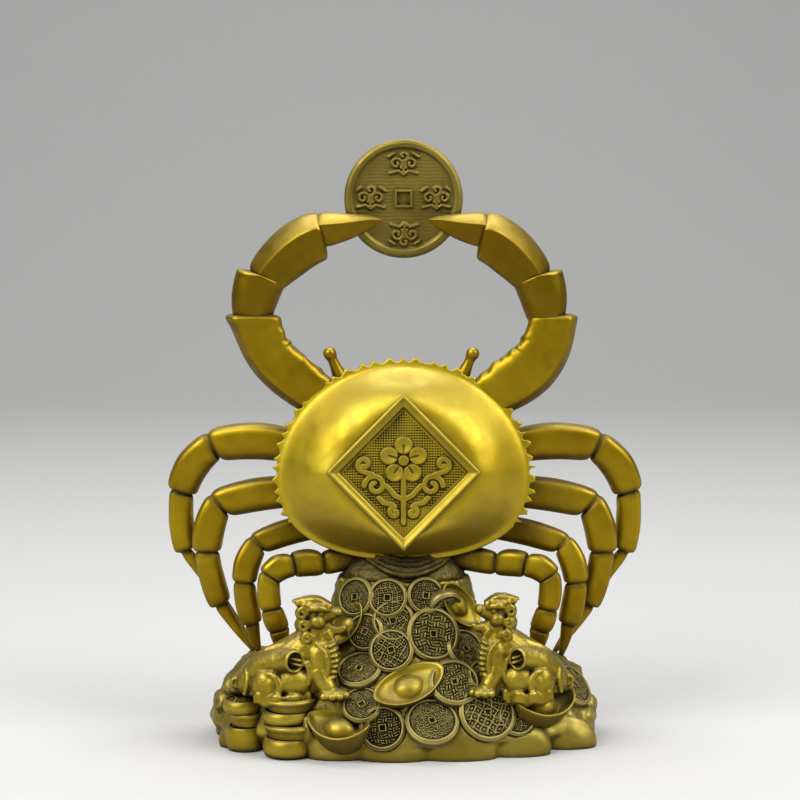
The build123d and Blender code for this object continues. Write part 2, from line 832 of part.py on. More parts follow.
head_plane = washer_plane.offset(-screw_head_height)
with BuildPart() as neck_screw:
    with BuildSketch(head_plane):
        Circle(screw_head_radius)
        RegularPolygon(screw_socket / 2, 6, mode=Mode.SUBTRACT)
    extrude(amount=screw_head_height)
    with BuildSketch(head_plane.offset(screw_head_height / 2)):
        Circle(screw_head_radius)
    extrude(amount=screw_head_height / 2)
    with BuildSketch(head_plane.offset(screw_head_height)):
        Circle(screw_radius)
    extrude(amount=screw_top - washer_plane.origin.Z)
save(neck_screw, "neck_screw")

with BuildPart() as screw_hole:
    with BuildSketch(Plane(origin=(0, screw_y, 0))):
        Circle(screw_radius + seat_clearance)
    extrude(amount=screw_top)

# Under shell with its cavity and sockets
with BuildPart() as under_shell:
    add(under_blank.part)
    loft([egg(under_cavity_inset, 0), egg(under_cavity_inset + shell_wall, -under_cavity_depth)],
         mode=Mode.SUBTRACT)
    add(flap_blank.part, mode=Mode.SUBTRACT)
    for socket in sockets + [screw_hole.part]:
        add(socket, mode=Mode.SUBTRACT)
save(under_shell, "under_shell")

# Tail collar, seated on the neck by a spigot
with BuildPart() as spigot:
    with BuildSketch(Plane(origin=(0, mound_centre_y, neck_top_height))):
        Circle(collar_spigot_radius)
    extrude(amount=-collar_spigot_length)
collar_neighbours = [under_blank.part, dome_blank.part, carapace.part, flap_blank.part]
with BuildPart() as tail_collar:
    add(cut_by(collar_blank.part, collar_neighbours + seated))
    add(spigot.part)
    for socket in sockets + [screw_hole.part]:
        add(socket, mode=Mode.SUBTRACT)
save(tail_collar, "tail_collar")

# Relief cast in one with the mound, on its front (face -1) and its back (face 1):
# lobes along the foot by place across and radius, rocks at the ends, and half-buried coins
lobe_height = 2.5
lobe_proud = 1.6
front_lobes = [(-60, 5.5), (-20.8, 11), (-6, 10.5), (9.5, 11.5), (27, 11.5), (45, 11), (58.5, 7)]
back_lobes = [(-57, 8), (-44, 11.5), (-26.5, 12), (-9, 11.5), (9, 12), (26.5, 11.5), (44, 11)]
rock_rows = [
    (-58.5, -5.0, 11.0, 6.0),
    (-55.0, -7.0, 17.0, 5.0),
    (60.0, -3.0, 10.0, 5.5),
    (55.0, 6.0, 17.0, 6.0),
]
buried_sink = 0.7
buried_rows = [
    (dict(x=-3.4, height=42.4, turn=14.0), 7.0),
    (dict(x=-12.6, height=38.6, turn=-20.0), 6.4),
    (dict(x=20.5, height=32.4, turn=25.0), 7.2),
    (dict(x=13.6, height=46.4, turn=8.0), 5.8),
    (dict(x=27.5, height=25.0, lift=0.2, turn=-18.0), 6.6),
    (dict(x=-13.6, height=17.6, lift=0.2, turn=30.0), 6.6),
    (dict(x=36.8, height=12.8, lift=0.1, turn=12.0), 6.6),
    (dict(x=8.0, height=12.6, face=1, lift=0.1, turn=20.0), 8.2),
    (dict(x=-38.0, height=12.8, face=1, lift=0.1, turn=-15.0), 8.4),
    (dict(x=44.5, height=12.4, face=1, lift=0.1, turn=10.0), 7.8),
    (dict(x=-22.5, height=24.6, face=1, lift=0.2, turn=28.0), 7.2),
    (dict(x=21.5, height=27.4, face=1, turn=-25.0), 7.8),
    (dict(x=9.6, height=33.8, face=1, turn=15.0), 6.6),
    (dict(x=-14.5, height=40.6, face=1, turn=-8.0), 6.4),
    (dict(x=-6.4, height=49.8, face=1, turn=22.0), 6.0),
    (dict(x=16.4, height=49.0, face=1, turn=-30.0), 5.6),
]
relief = []
for face, lobes in ((-1, front_lobes), (1, back_lobes)):
    for x, radius in lobes:
        centre_y = mound_centre_y + face * (mound_reach(x, bulge_height) + lobe_proud - radius)
        with BuildPart(Plane(origin=(x, centre_y, lobe_height))) as lobe:
            Sphere(radius)
            split(bisect_by=Plane.XY, keep=Keep.TOP)
        relief.append(lobe.part)
for x, y, height, radius in rock_rows:
    with BuildPart(Plane(origin=(x, mound_centre_y + y, height))) as rock:
        Sphere(radius)
    relief.append(rock.part)
for place, radius in buried_rows:
    relief.append(small_coin(seat_plane(**place).offset(-buried_sink), radius))
relief_neighbours = seated + list(beasts.values()) + leg_solids + [collar_blank.part]

# Mound base: the blank and its relief, hollowed from below, with seats for everything that sits on it
with BuildPart() as base_mound:
    add(mound_blank.part)
    for lump in relief:
        add(cut_by(lump, relief_neighbours))
    loft([
        oval(0, mound_half_width - foot_inset - hollow_wall, mound_half_depth - foot_inset - hollow_wall),
        oval(hollow_height, mound_half_width - slope_inset - 2 * hollow_wall,
             mound_half_depth - slope_inset - 2 * hollow_wall),
    ], mode=Mode.SUBTRACT)
    for piece in seated:
        add(piece, mode=Mode.SUBTRACT)
    with BuildSketch(Plane(origin=(0, mound_centre_y, neck_top_height))):
        Circle(collar_spigot_radius + seat_clearance)
    extrude(amount=-collar_spigot_length - seat_clearance, mode=Mode.SUBTRACT)
    add(screw_hole.part, mode=Mode.SUBTRACT)
save(base_mound, "base_mound")
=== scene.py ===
"""Looks of the brass crab figurine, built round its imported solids.

Sizes and places are in millimetres in the object's frame and become metres in the meshes.
X is to the viewer's right, Y away from the viewer, Z up, and the table is at Z = 0.
"""
import random
from math import atan2, copysign, cos, degrees, exp, floor, hypot, pi, radians, sin, sqrt, tau

import bmesh
import bpy
import numpy as np
from mathutils import Matrix, Vector, noise


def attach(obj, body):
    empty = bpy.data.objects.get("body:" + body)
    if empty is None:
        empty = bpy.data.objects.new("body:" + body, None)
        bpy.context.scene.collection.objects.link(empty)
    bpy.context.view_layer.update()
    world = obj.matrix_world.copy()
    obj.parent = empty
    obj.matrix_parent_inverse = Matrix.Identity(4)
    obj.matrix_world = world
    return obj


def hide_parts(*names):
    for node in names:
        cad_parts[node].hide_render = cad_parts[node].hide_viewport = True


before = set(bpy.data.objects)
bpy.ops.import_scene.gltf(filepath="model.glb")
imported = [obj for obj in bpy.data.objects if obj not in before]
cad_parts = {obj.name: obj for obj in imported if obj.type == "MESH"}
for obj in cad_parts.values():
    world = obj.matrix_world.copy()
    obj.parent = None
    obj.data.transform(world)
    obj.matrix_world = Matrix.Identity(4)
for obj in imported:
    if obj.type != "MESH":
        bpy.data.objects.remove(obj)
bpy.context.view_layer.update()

MM = 0.001
SIDES = ((-1, "left"), (1, "right"))

# Crab shell
SHELL_CENTRE = Vector((0.0, -1.0, 88.0))
SHELL_LEAN = radians(8.0)
SHELL_UP = Vector((0.0, sin(SHELL_LEAN), cos(SHELL_LEAN)))
SHELL_OUT = Vector((0.0, -cos(SHELL_LEAN), sin(SHELL_LEAN)))
SHELL_HALF_WIDTH = 42.6
SHELL_RISE = 38.4
SHELL_DROP = 27.6
SHELL_LOWER_POWER = 2.3
DOME_HEIGHT = 12.6
RIM_HEIGHT = 1.6
TEETH_PER_SIDE = 20
TOOTH_END_ANGLE = 116.0
TOOTH_DEPTH_TOP = 1.7
TOOTH_DEPTH_SIDE = {-1: 2.2, 1: 2.9}
DOME_POWER = 1.36
LIP = 1.4
UNDER_INSET = 2.6
PLATE_PITCH = 9.0
FLAP_RISE = 10.8
UNDER_DEPTH = 19.0

# Plaque on the shell
PLAQUE_RISE = 1.4
PLAQUE_HALF_WIDTH = 25.6
PLAQUE_HALF_HEIGHT = 25.9
PLAQUE_SEAT = 3.5
PLAQUE_BORDER = 3.4
PANEL_HEIGHT = 14.2
DESIGN_SIZE = 1.22
DESIGN_PROUD = 0.95
WEAVE_PITCH = 0.85
GROUND_SUNK = 3.0

# Held coin
COIN_CENTRE = Vector((0.0, 3.0, 180.4))
COIN_RADIUS = 19.6
COIN_THICKNESS = 4.4
COIN_ROUNDING = 0.35
COIN_RIM = 2.5
COIN_HOLE = 2.1
COIN_FIELD = 0.95
GRIP_DROP = 8.0
GRIP_REACH = sqrt(COIN_RADIUS ** 2 - GRIP_DROP ** 2)
RIGHT_CLAW_SHARE = 0.91

# Mound, as level ovals: height, half width and half depth
MOUND_CENTRE_Y = 1.0
SKIRT_LEVELS = [(0, 62, 35), (6, 66, 39), (17, 61, 34), (26, 54.5, 27.5), (30, 40, 13)]
NECK_LEVELS = [(20, 39, 30.5), (36, 26.5, 21.5), (54, 22, 14.5)]
MOUND_HALF_WIDTH = 66.0
FOOT_HEIGHT = 6.0
MOUND_HEIGHT = 54.0

# Camera, fitted to the photograph
CAMERA_AIM = Vector((-1.17, 3.0, 113.2))
CAMERA_DISTANCE = 800.0
CAMERA_ELEVATION = radians(7.0)
CAMERA_LENS = 107.57
SENSOR = 36.0


# Mesh helpers


def lerp(low, high, share):
    """The value a share of the way from low to high."""
    return low + (high - low) * share


def smooth_step(low, high, value):
    """0 below low, 1 above high and a soft slope between; works on arrays."""
    share = np.clip((value - low) / (high - low), 0.0, 1.0)
    return share * share * (3.0 - 2.0 * share)


def turns(steps):
    """Angles of equal steps round a circle."""
    return [tau * step / steps for step in range(steps)]


def skin(rings, looped=False):
    """Vertices and faces over rings that have equal numbers of points, capped or looped to a closed band."""
    count = len(rings[0])
    vertices = [Vector(point) for ring in rings for point in ring]
    faces = []
    for row in range(len(rings) if looped else len(rings) - 1):
        low, high = row * count, (row + 1) % len(rings) * count
        for index in range(count):
            after = (index + 1) % count
            faces.append((low + index, low + after, high + after, high + index))
    for row in () if looped else (0, len(rings) - 1):
        hub = len(vertices)
        vertices.append(sum((Vector(point) for point in rings[row]), Vector()) / count)
        for index in range(count):
            faces.append((row * count + index, row * count + (index + 1) % count, hub))
    return vertices, faces


class Shape:
    """A growing list of vertices and faces."""

    def __init__(self, *parts):
        self.vertices = []
        self.faces = []
        for part in parts:
            self.add(part)

    def add(self, part):
        vertices, faces = part
        start = len(self.vertices)
        self.vertices.extend(vertices)
        self.faces.extend(tuple(start + index for index in face) for face in faces)

    def mesh(self, name):
        made = bpy.data.meshes.new(name)
        made.from_pydata([tuple(Vector(point) * MM) for point in self.vertices], [], self.faces)
        work = bmesh.new()
        work.from_mesh(made)
        bmesh.ops.recalc_face_normals(work, faces=work.faces)
        work.to_mesh(made)
        work.free()
        return made


def placed(name, data):
    """A new object in the scene."""
    made = bpy.data.objects.new(name, data)
    bpy.context.scene.collection.objects.link(made)
    return made


def evaluated(mesh, modifiers):
    """A mesh with modifiers applied, each given as its type and settings."""
    holder = placed("holder", mesh)
    for kind, settings in modifiers:
        modifier = holder.modifiers.new(kind.lower(), kind)
        for key, value in settings.items():
            setattr(modifier, key, value)
    bpy.context.view_layer.update()
    graph = bpy.context.evaluated_depsgraph_get()
    made = bpy.data.meshes.new_from_object(holder.evaluated_get(graph))
    bpy.data.objects.remove(holder)
    return made


def fused(shape, voxel, passes):
    """One closed skin round overlapping shapes, smoothed a little."""
    return evaluated(shape.mesh("fused"), [
        ("REMESH", {"mode": "VOXEL", "voxel_size": voxel * MM}),
        ("SMOOTH", {"factor": 0.5, "iterations": passes}),
    ])


def rounded(shape, levels):
    """A shape's mesh, subdivided."""
    return evaluated(shape.mesh("rounded"), [("SUBSURF", {"levels": levels, "render_levels": levels})])


def displaced(mesh, amount):
    """Moves each vertex along its normal by amount(place in millimetres), in millimetres."""
    moves = []
    for vertex in mesh.vertices:
        moves.append(vertex.normal * (amount(vertex.co / MM) * MM))
    for vertex, move in zip(mesh.vertices, moves):
        vertex.co += move
    mesh.update()
    return mesh


def mark_darkening(mesh, values):
    """Notes how much the finish darkens the first vertices: depth in the relief, dark leg joints and painted
    shadow at leg roots; 0 is not at all.
    """
    layer = mesh.attributes.new("darkening", "FLOAT", "POINT")
    for index, value in enumerate(np.ravel(values).tolist()):
        layer.data[index].value = value
    return mesh


def piece(solid, mesh, finish, name=None):
    """A finished piece: smooth, painted, riding on the body and standing for its solid."""
    name = name or f"{solid}_cast"
    mesh.name = name
    for face in mesh.polygons:
        face.use_smooth = True
    made = placed(name, mesh)
    mesh.materials.clear()
    mesh.materials.append(finish)
    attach(made, "root")
    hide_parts(solid)


def frames(points):
    """A direction and two steady cross directions at each point of a path."""
    rows = []
    side = None
    for index in range(len(points)):
        before = points[max(index - 1, 0)]
        after = points[min(index + 1, len(points) - 1)]
        along = (after - before).normalized()
        if side is None:
            side = along.orthogonal().normalized()
        side = (side - along * side.dot(along)).normalized()
        rows.append((along, side, along.cross(side)))
    return rows


def path_stations(rows):
    """Centre, radius and directions at each (x, y, z, radius) row of a path."""
    points = [Vector(row[:3]) for row in rows]
    return list(zip(points, [row[3] for row in rows], frames(points)))


def round_rings(stations, sides):
    """Circles round the stations of a path."""
    rings = []
    for centre, radius, (_, side, up) in stations:
        rings.append([
            centre + side * (radius * cos(angle)) + up * (radius * sin(angle))
            for angle in turns(sides)
        ])
    return rings


def tube(rows, sides):
    """A round tube through (x, y, z, radius) rows, with rounded ends."""
    stations = path_stations(rows)
    ends = []
    for (centre, radius, span), way in ((stations[0], -0.7), (stations[-1], 0.7)):
        ends.append((centre + span[0] * (way * radius), 0.6 * radius, span))
    return skin(round_rings([ends[0], *stations, ends[1]], sides))


def horn(rows, hollow, sides):
    """A tapering roll through (x, y, z, radius) rows whose last end is open, hollowed to a depth."""
    stations = path_stations(rows)
    end, radius, span = stations[-1]
    for ahead, share in ((0.5, 0.93), (0.3, 0.76), (-hollow, 0.62)):
        stations.append((end + span[0] * ahead, share * radius, span))
    return skin(round_rings(stations, sides))


def softened(rows, steps=4):
    """More rows along a smooth path through (x, y, z, radius) rows."""
    made = []
    for index in range(len(rows) - 1):
        near = [rows[min(max(index + move, 0), len(rows) - 1)] for move in (-1, 0, 1, 2)]
        for step in range(steps):
            share = step / steps
            row = []
            for a, b, c, d in zip(*near):
                bend = (2 * a - 5 * b + 4 * c - d) * share ** 2 + (3 * b - a - 3 * c + d) * share ** 3
                row.append(b + 0.5 * ((c - a) * share + bend))
            made.append(row)
    return made + [list(rows[-1])]


def blob(centre, radii, tilt=(0.0, 0.0, 0.0), rows=10, columns=18):
    """An ellipsoid, tilted by three angles in degrees."""
    turn = Matrix.Identity(3)
    for angle, axis in zip(tilt, "XYZ"):
        turn = Matrix.Rotation(radians(angle), 3, axis) @ turn
    rings = []
    for row in range(1, rows):
        level = pi * row / rows
        ring = []
        for angle in turns(columns):
            spot = Vector((
                radii[0] * sin(level) * cos(angle),
                radii[1] * sin(level) * sin(angle),
                radii[2] * cos(level),
            ))
            ring.append(Vector(centre) + turn @ spot)
        rings.append(ring)
    return skin(rings)


def curl(centre, wide, high, thickness, rounds, squeeze, depth=0.0):
    """A spiral roll seen from the front, winding inwards and, by a depth, towards the viewer."""
    rows = []
    steps = int(18 * rounds)
    for step in range(steps + 1):
        share = step / steps
        angle = tau * rounds * share
        reach = lerp(1.0, squeeze, share)
        rows.append((
            centre[0] + wide * reach * cos(angle),
            centre[1] - depth * share,
            centre[2] + high * reach * sin(angle),
            thickness * lerp(1.0, 0.8, share),
        ))
    return tube(rows, 8)


# Places on the shell and the mound


def shell_point(across, up, out):
    """A point of the shell's own frame in the object's frame."""
    return SHELL_CENTRE + Vector((across, 0.0, 0.0)) + SHELL_UP * up + SHELL_OUT * out


def egg_radius(angle):
    """Reach of the shell's outline from its centre."""
    cosine = abs(cos(angle)) / SHELL_HALF_WIDTH
    if sin(angle) >= 0:
        return 1.0 / hypot(cosine, sin(angle) / SHELL_RISE)
    sine = -sin(angle) / SHELL_DROP
    power = SHELL_LOWER_POWER
    return (cosine ** power + sine ** power) ** (-1.0 / power)


def level_sizes(levels, height):
    """Half width and half depth of a stack of ovals at a height, or None outside it."""
    for (low, width_low, depth_low), (high, width_high, depth_high) in zip(levels, levels[1:]):
        if low <= height <= high:
            share = (height - low) / (high - low)
            return lerp(width_low, width_high, share), lerp(depth_low, depth_high, share)
    return None


def mound_reach(x, height):
    """How far the mound's surface stands from its middle plane."""
    reach = 0.0
    for levels in (SKIRT_LEVELS, NECK_LEVELS):
        sizes = level_sizes(levels, height)
        if sizes and abs(x) < sizes[0]:
            reach = max(reach, sizes[1] * sqrt(1 - (x / sizes[0]) ** 2))
    return reach


def mound_top(x, y):
    """Height of the mound's surface above a point of the table."""
    low, high = FOOT_HEIGHT, MOUND_HEIGHT
    while high - low > 0.01:
        middle = (low + high) / 2
        if mound_reach(x, middle) > abs(y - MOUND_CENTRE_Y):
            low = middle
        else:
            high = middle
    return low


def seat(x, height, turn=0.0, lift=0.0, face=-1):
    """Frame of a piece lying on the mound: a matrix whose Z axis leaves the surface."""
    step = 0.5
    slope_x = (mound_reach(x + step, height) - mound_reach(x - step, height)) / (2 * step)
    slope_z = (mound_reach(x, height + step) - mound_reach(x, height - step)) / (2 * step)
    normal = Vector((-slope_x, face, -slope_z)).normalized() + Vector((0, 0, lift))
    normal.normalize()
    across = Vector((-normal.y, normal.x, 0)).normalized()
    up = normal.cross(across)
    origin = Vector((x, MOUND_CENTRE_Y + face * mound_reach(x, height), height))
    place = Matrix((across, up, normal)).transposed().to_4x4()
    place.translation = origin
    return place @ Matrix.Rotation(radians(turn), 4, "Z")


# Relief drawing: heights on a field of points


def stroke_distance(x, y, line):
    """Distance from each point of the field to a polyline."""
    best = np.full_like(x, 1e9)
    for (x0, y0), (x1, y1) in zip(line, line[1:]):
        run_x, run_y = x1 - x0, y1 - y0
        length = max(run_x * run_x + run_y * run_y, 1e-9)
        share = np.clip(((x - x0) * run_x + (y - y0) * run_y) / length, 0.0, 1.0)
        best = np.minimum(best, np.hypot(x - x0 - share * run_x, y - y0 - share * run_y))
    return best


def raised(x, y, lines, half_width, soft=0.25):
    """1 on the strokes, 0 off them, with soft edges."""
    best = np.full_like(x, 1e9)
    for line in lines:
        best = np.minimum(best, stroke_distance(x, y, line))
    return 1.0 - smooth_step(half_width - soft, half_width + soft, best)


def spiral(centre, radius, start, rounds):
    """Points of a flat spiral, from its outer end inwards; negative rounds wind the other way."""
    steps, tail = 18, 0.25
    points = []
    for step in range(steps + 1):
        share = step / steps
        angle = radians(start) + tau * rounds * share
        reach = radius * lerp(1.0, tail, share)
        points.append((centre[0] + reach * cos(angle), centre[1] + reach * sin(angle)))
    return points


def moved(lines, dx, dy, turn, size):
    """Strokes turned, sized and moved together."""
    cosine, sine = cos(radians(turn)), sin(radians(turn))
    result = []
    for line in lines:
        result.append([
            (dx + size * (x * cosine - y * sine), dy + size * (x * sine + y * cosine)) for x, y in line
        ])
    return result


CLOUD = [
    spiral((-2.2, 0.6), 1.9, -40, 1.2),
    spiral((2.2, 0.6), 1.9, 220, -1.2),
    spiral((0.0, 2.9), 1.5, -90, 0.9),
    [(-3.9, -2.2), (-1.5, -1.5), (0.0, -2.6), (1.5, -1.5), (3.9, -2.2)],
    [(0.0, -2.6), (0.0, 0.6)],
    [(-4.4, 2.6), (-3.0, 3.6)],
    [(4.4, 2.6), (3.0, 3.6)],
]
# The four scrolls on the held coin: place across, place up and turn
CLOUD_PLACES = ((0.0, 10.9, 0), (0.3, -11.0, 180), (-10.9, -0.4, 0), (10.9, -0.4, 0))
CLOUD_SIZE = 1.12


# Finishes


def material(name):
    """A new material, its node tree and its shader."""
    made = bpy.data.materials.new(name)
    made.use_nodes = True
    return made, made.node_tree, made.node_tree.nodes["Principled BSDF"]


def node(tree, kind, inputs, **settings):
    """A shader node whose inputs are given as values, colours or sockets to link."""
    made = tree.nodes.new(kind)
    for key, value in settings.items():
        setattr(made, key, value)
    for key, value in inputs.items():
        if isinstance(value, bpy.types.NodeSocket):
            tree.links.new(value, made.inputs[key])
        else:
            made.inputs[key].default_value = (*value, 1.0) if isinstance(value, tuple) else value
    return made


def ramp(tree, source, low, high, low_value=0.0, high_value=1.0):
    """A value stretched between two limits."""
    return node(tree, "ShaderNodeMapRange", {
        "Value": source, "From Min": low, "From Max": high, "To Min": low_value, "To Max": high_value,
    }).outputs["Result"]


def grain(tree, scale, detail, roughness=0.55):
    """A noise over the object's own coordinates."""
    place = tree.nodes.new("ShaderNodeTexCoord").outputs["Object"]
    return node(tree, "ShaderNodeTexNoise", {
        "Vector": place, "Scale": scale, "Detail": detail, "Roughness": roughness,
    }).outputs["Fac"]


def blend(tree, share, first, second):
    """A colour mixed by a share from one colour or socket to another."""
    return node(tree, "ShaderNodeMix", {0: share, 6: first, 7: second}, data_type="RGBA").outputs[2]


def maths(tree, operation, first, second):
    """A sum, product or the like of two values or sockets."""
    made = node(tree, "ShaderNodeMath", {0: first, 1: second}, operation=operation, use_clamp=True)
    return made.outputs["Value"]


def metal(name, bright, deep, dull, patina_and_shade_colour, shine, cavity, reach, pits,
          painted_shade_limits=(0.3, -0.5), gleam=0.4, crease_and_edge=1.0, coat=0.0):
    """Cast metal: buffed front, duller skin behind, patina and painted shade in hollows and creases, painted
    shade on sides and undersides, painted highlight on tops, pale edges from wear and painted highlight, and
    a fine cast grain.
    """
    made, tree, shader = material(name)
    shader.inputs["Coat Weight"].default_value = coat
    shader.inputs["Coat Roughness"].default_value = 0.3

    def times(first, second):
        return maths(tree, "MULTIPLY", first, second)

    def plus(first, second):
        return maths(tree, "ADD", first, second)

    broad = grain(tree, 45.0, 3.0)
    middle = grain(tree, 260.0, 5.0)
    fine = grain(tree, 1500.0, 4.0, 0.7)
    surface = tree.nodes.new("ShaderNodeNewGeometry").outputs
    facing = node(tree, "ShaderNodeSeparateXYZ", {"Vector": surface["Normal"]}).outputs
    hollow = node(tree, "ShaderNodeAmbientOcclusion", {"Distance": reach * MM}, samples=6)
    darkening = node(tree, "ShaderNodeAttribute", {}, attribute_name="darkening").outputs["Fac"]
    # Occlusion darkens hollows and what lies under overhangs: patina and painted shade.
    shut = ramp(tree, hollow.outputs["AO"], 0.9, 0.35)
    # Pointiness: creases darker with patina and painted shade, convex edges paler with wear and painted
    # highlight.
    groove = ramp(tree, surface["Pointiness"], 0.49, 0.42, 0.0, crease_and_edge)
    edge = ramp(tree, surface["Pointiness"], 0.515, 0.58, 0.0, crease_and_edge)
    away = ramp(tree, facing["Y"], -0.75, 0.1)
    skin_share = times(away, ramp(tree, middle, 0.3, 0.62, 0.15, 0.85))

    stain = times(ramp(tree, middle, 0.35, 0.65), 0.35)
    # Painted shade: surfaces that face downwards take up to 0.6 of the patina-and-shade colour.
    below = ramp(tree, facing["Z"], 0.05, -0.75, 0.0, 0.6)
    # Patina and painted shade together: occlusion and creases by the cavity share, the marked darkening and
    # the painted shade below, mottled by stains.
    patina_and_shade = times(plus(shut, times(groove, 0.7)), cavity)
    patina_and_shade = maths(tree, "MAXIMUM", plus(patina_and_shade, times(darkening, 0.3)), below)
    patina_and_shade = times(patina_and_shade, plus(stain, 0.8))

    # Painted shade: 0.55 of the deep tone, laid on surfaces that face sideways and downwards.
    shade = tuple(0.55 * channel for channel in deep)
    # Painted highlight: a paler tone laid on surfaces that face upwards.
    painted_top_highlight = tuple(0.72 * channel + 0.28 * light for channel, light in zip(bright, (1.0, 0.95, 0.72)))
    # Pale edges: edge wear and painted highlight.
    pale = tuple(min(1.0, channel * 1.2 + 0.05) for channel in bright)
    tone = blend(tree, ramp(tree, broad, 0.3, 0.7), deep, bright)
    for share, colour in (
        (times(ramp(tree, middle, 0.5, 0.75), 0.35), deep),
        (skin_share, dull),
        (ramp(tree, facing["Z"], *painted_shade_limits, 0.0, 0.85), shade),
        (ramp(tree, facing["Z"], 0.35, 0.95, 0.0, gleam), painted_top_highlight),
        (times(edge, 0.5), pale),
        (patina_and_shade, patina_and_shade_colour),
    ):
        tone = blend(tree, share, tone, colour)

    gloss = ramp(tree, middle, 0.3, 0.7, shine - 0.06, shine + 0.08)
    pitted = plus(times(fine, 0.5), times(middle, 0.5))
    bump = node(tree, "ShaderNodeBump", {"Strength": pits, "Distance": 0.3 * MM, "Height": pitted})
    for key, socket in (
        ("Base Color", tone),
        ("Roughness", plus(gloss, plus(times(patina_and_shade, 0.3), times(skin_share, 0.12)))),
        ("Metallic", ramp(tree, patina_and_shade, 0.0, 1.0, 1.0, 0.6)),
        ("Normal", bump.outputs["Normal"]),
    ):
        tree.links.new(socket, shader.inputs[key])
    return made


SATIN_TONES = ((0.60, 0.425, 0.016), (0.36, 0.215, 0.005), (0.38, 0.30, 0.07), (0.02, 0.012, 0.002))
# The shell's deep tone and patina-and-shade colour are amber, for the painted shade over its lower half.
POLISHED = metal("polished_brass", (0.68, 0.525, 0.026), (0.58, 0.39, 0.008), (0.52, 0.41, 0.05),
                 (0.13, 0.08, 0.004), 0.47, 0.9, 3.0, 0.12, gleam=0.32, crease_and_edge=0.0, coat=0.3)
SATIN = metal("satin_brass", *SATIN_TONES, 0.43, 1.0, 4.2, 0.3)
ARM = metal("arm_brass", *SATIN_TONES, 0.43, 1.0, 4.2, 0.3, crease_and_edge=0.0)
# Claw pieces: painted shade on front facets that face little upwards, and a stronger painted highlight on
# tops.
CLAW = metal("claw_brass", (0.60, 0.425, 0.016), (0.32, 0.185, 0.004), (0.36, 0.28, 0.06),
             (0.02, 0.012, 0.002), 0.43, 1.0, 4.2, 0.3, (0.6, 0.0), 0.5)
AGED = metal("aged_brass", (0.50, 0.395, 0.075), (0.29, 0.205, 0.022), (0.36, 0.3, 0.095),
             (0.018, 0.012, 0.002), 0.46, 1.0, 2.4, 0.5, gleam=0.3)
STACK = metal("stack_brass", (0.60, 0.46, 0.05), (0.38, 0.265, 0.015), (0.42, 0.34, 0.09),
              (0.02, 0.013, 0.002), 0.45, 1.0, 3.0, 0.4, (0.1, -0.6))
COIN = metal("coin_brass", (0.52, 0.43, 0.13), (0.32, 0.25, 0.06), (0.40, 0.345, 0.14),
             (0.03, 0.022, 0.006), 0.47, 0.85, 1.4, 0.5, (0.1, -0.6), 0.3)
BEAST = metal("beast_brass", (0.60, 0.46, 0.05), (0.30, 0.2, 0.012), (0.38, 0.305, 0.09),
              (0.013, 0.009, 0.002), 0.43, 1.0, 4.4, 0.3, gleam=0.6)
DARK = metal("dark_brass", (0.47, 0.37, 0.08), (0.27, 0.195, 0.028), (0.35, 0.29, 0.1),
             (0.02, 0.015, 0.004), 0.46, 1.0, 1.8, 0.35, crease_and_edge=0.0)
PANEL = metal("panel_brass", (0.60, 0.46, 0.05), (0.42, 0.30, 0.02), (0.42, 0.34, 0.06),
              (0.014, 0.01, 0.002), 0.5, 1.0, 1.8, 0.35, crease_and_edge=0.0)
FRAME = metal("frame_brass", (0.57, 0.44, 0.045), (0.39, 0.275, 0.016), (0.42, 0.34, 0.06),
              (0.03, 0.02, 0.004), 0.46, 1.0, 2.2, 0.25)
# Collar: very dark tones and a long occlusion reach paint the shell's shadow over it.
PAINTED_SHADOW_COLLAR = metal("collar_brass_painted_shadow", (0.18, 0.135, 0.02), (0.09, 0.062, 0.006), (0.13, 0.105, 0.03),
               (0.008, 0.006, 0.001), 0.5, 1.0, 9.0, 0.5)
STEEL = metal("zinc_steel", (0.62, 0.62, 0.60), (0.45, 0.45, 0.44), (0.5, 0.5, 0.49),
              (0.10, 0.09, 0.08), 0.38, 0.8, 2.0, 0.15)


# Carapace, under shell and abdomen flap


def tooth(angle_from_top):
    """How far the rim's edge stands out at an angle from the shell's top, in degrees."""
    share = abs(angle_from_top) / TOOTH_END_ANGLE
    if share >= 1.0:
        return 0.0
    phase = TEETH_PER_SIDE * (share - 0.06 * sin(pi * share))
    wander = 0.16 * sin(2.3 * phase) + 0.1 * sin(5.1 * phase + angle_from_top)
    place = (phase + wander) % 1.0
    soft = (1.0 - sin(pi * place)) ** 0.8
    spike = (2 * place - 1) ** 2
    mix = smooth_step(0.35, 0.75, share)
    depth = lerp(TOOTH_DEPTH_TOP, TOOTH_DEPTH_SIDE[1 if angle_from_top > 0 else -1], mix)
    fade = 1.0 - smooth_step(0.94, 1.0, share)
    return depth * fade * (lerp(soft, spike, mix) - 0.35)


def plaque_reach(angle):
    """Reach of the plaque's diamond from its centre, with its corners rounded off."""
    power = 1.45
    wide = abs(cos(angle)) / PLAQUE_HALF_WIDTH
    high = abs(sin(angle)) / PLAQUE_HALF_HEIGHT
    return (wide ** power + high ** power) ** (-1.0 / power)


def rim_reach(angle):
    """Reach of the shell's outline along a ray from the plaque's centre, and the ray's egg angle."""
    low, high = 0.0, 60.0
    for _ in range(30):
        middle = (low + high) / 2
        x, y = middle * cos(angle), PLAQUE_RISE + middle * sin(angle)
        if hypot(x, y) < egg_radius(atan2(y, x)):
            low = middle
        else:
            high = middle
    x, y = low * cos(angle), PLAQUE_RISE + low * sin(angle)
    return low, atan2(y, x)


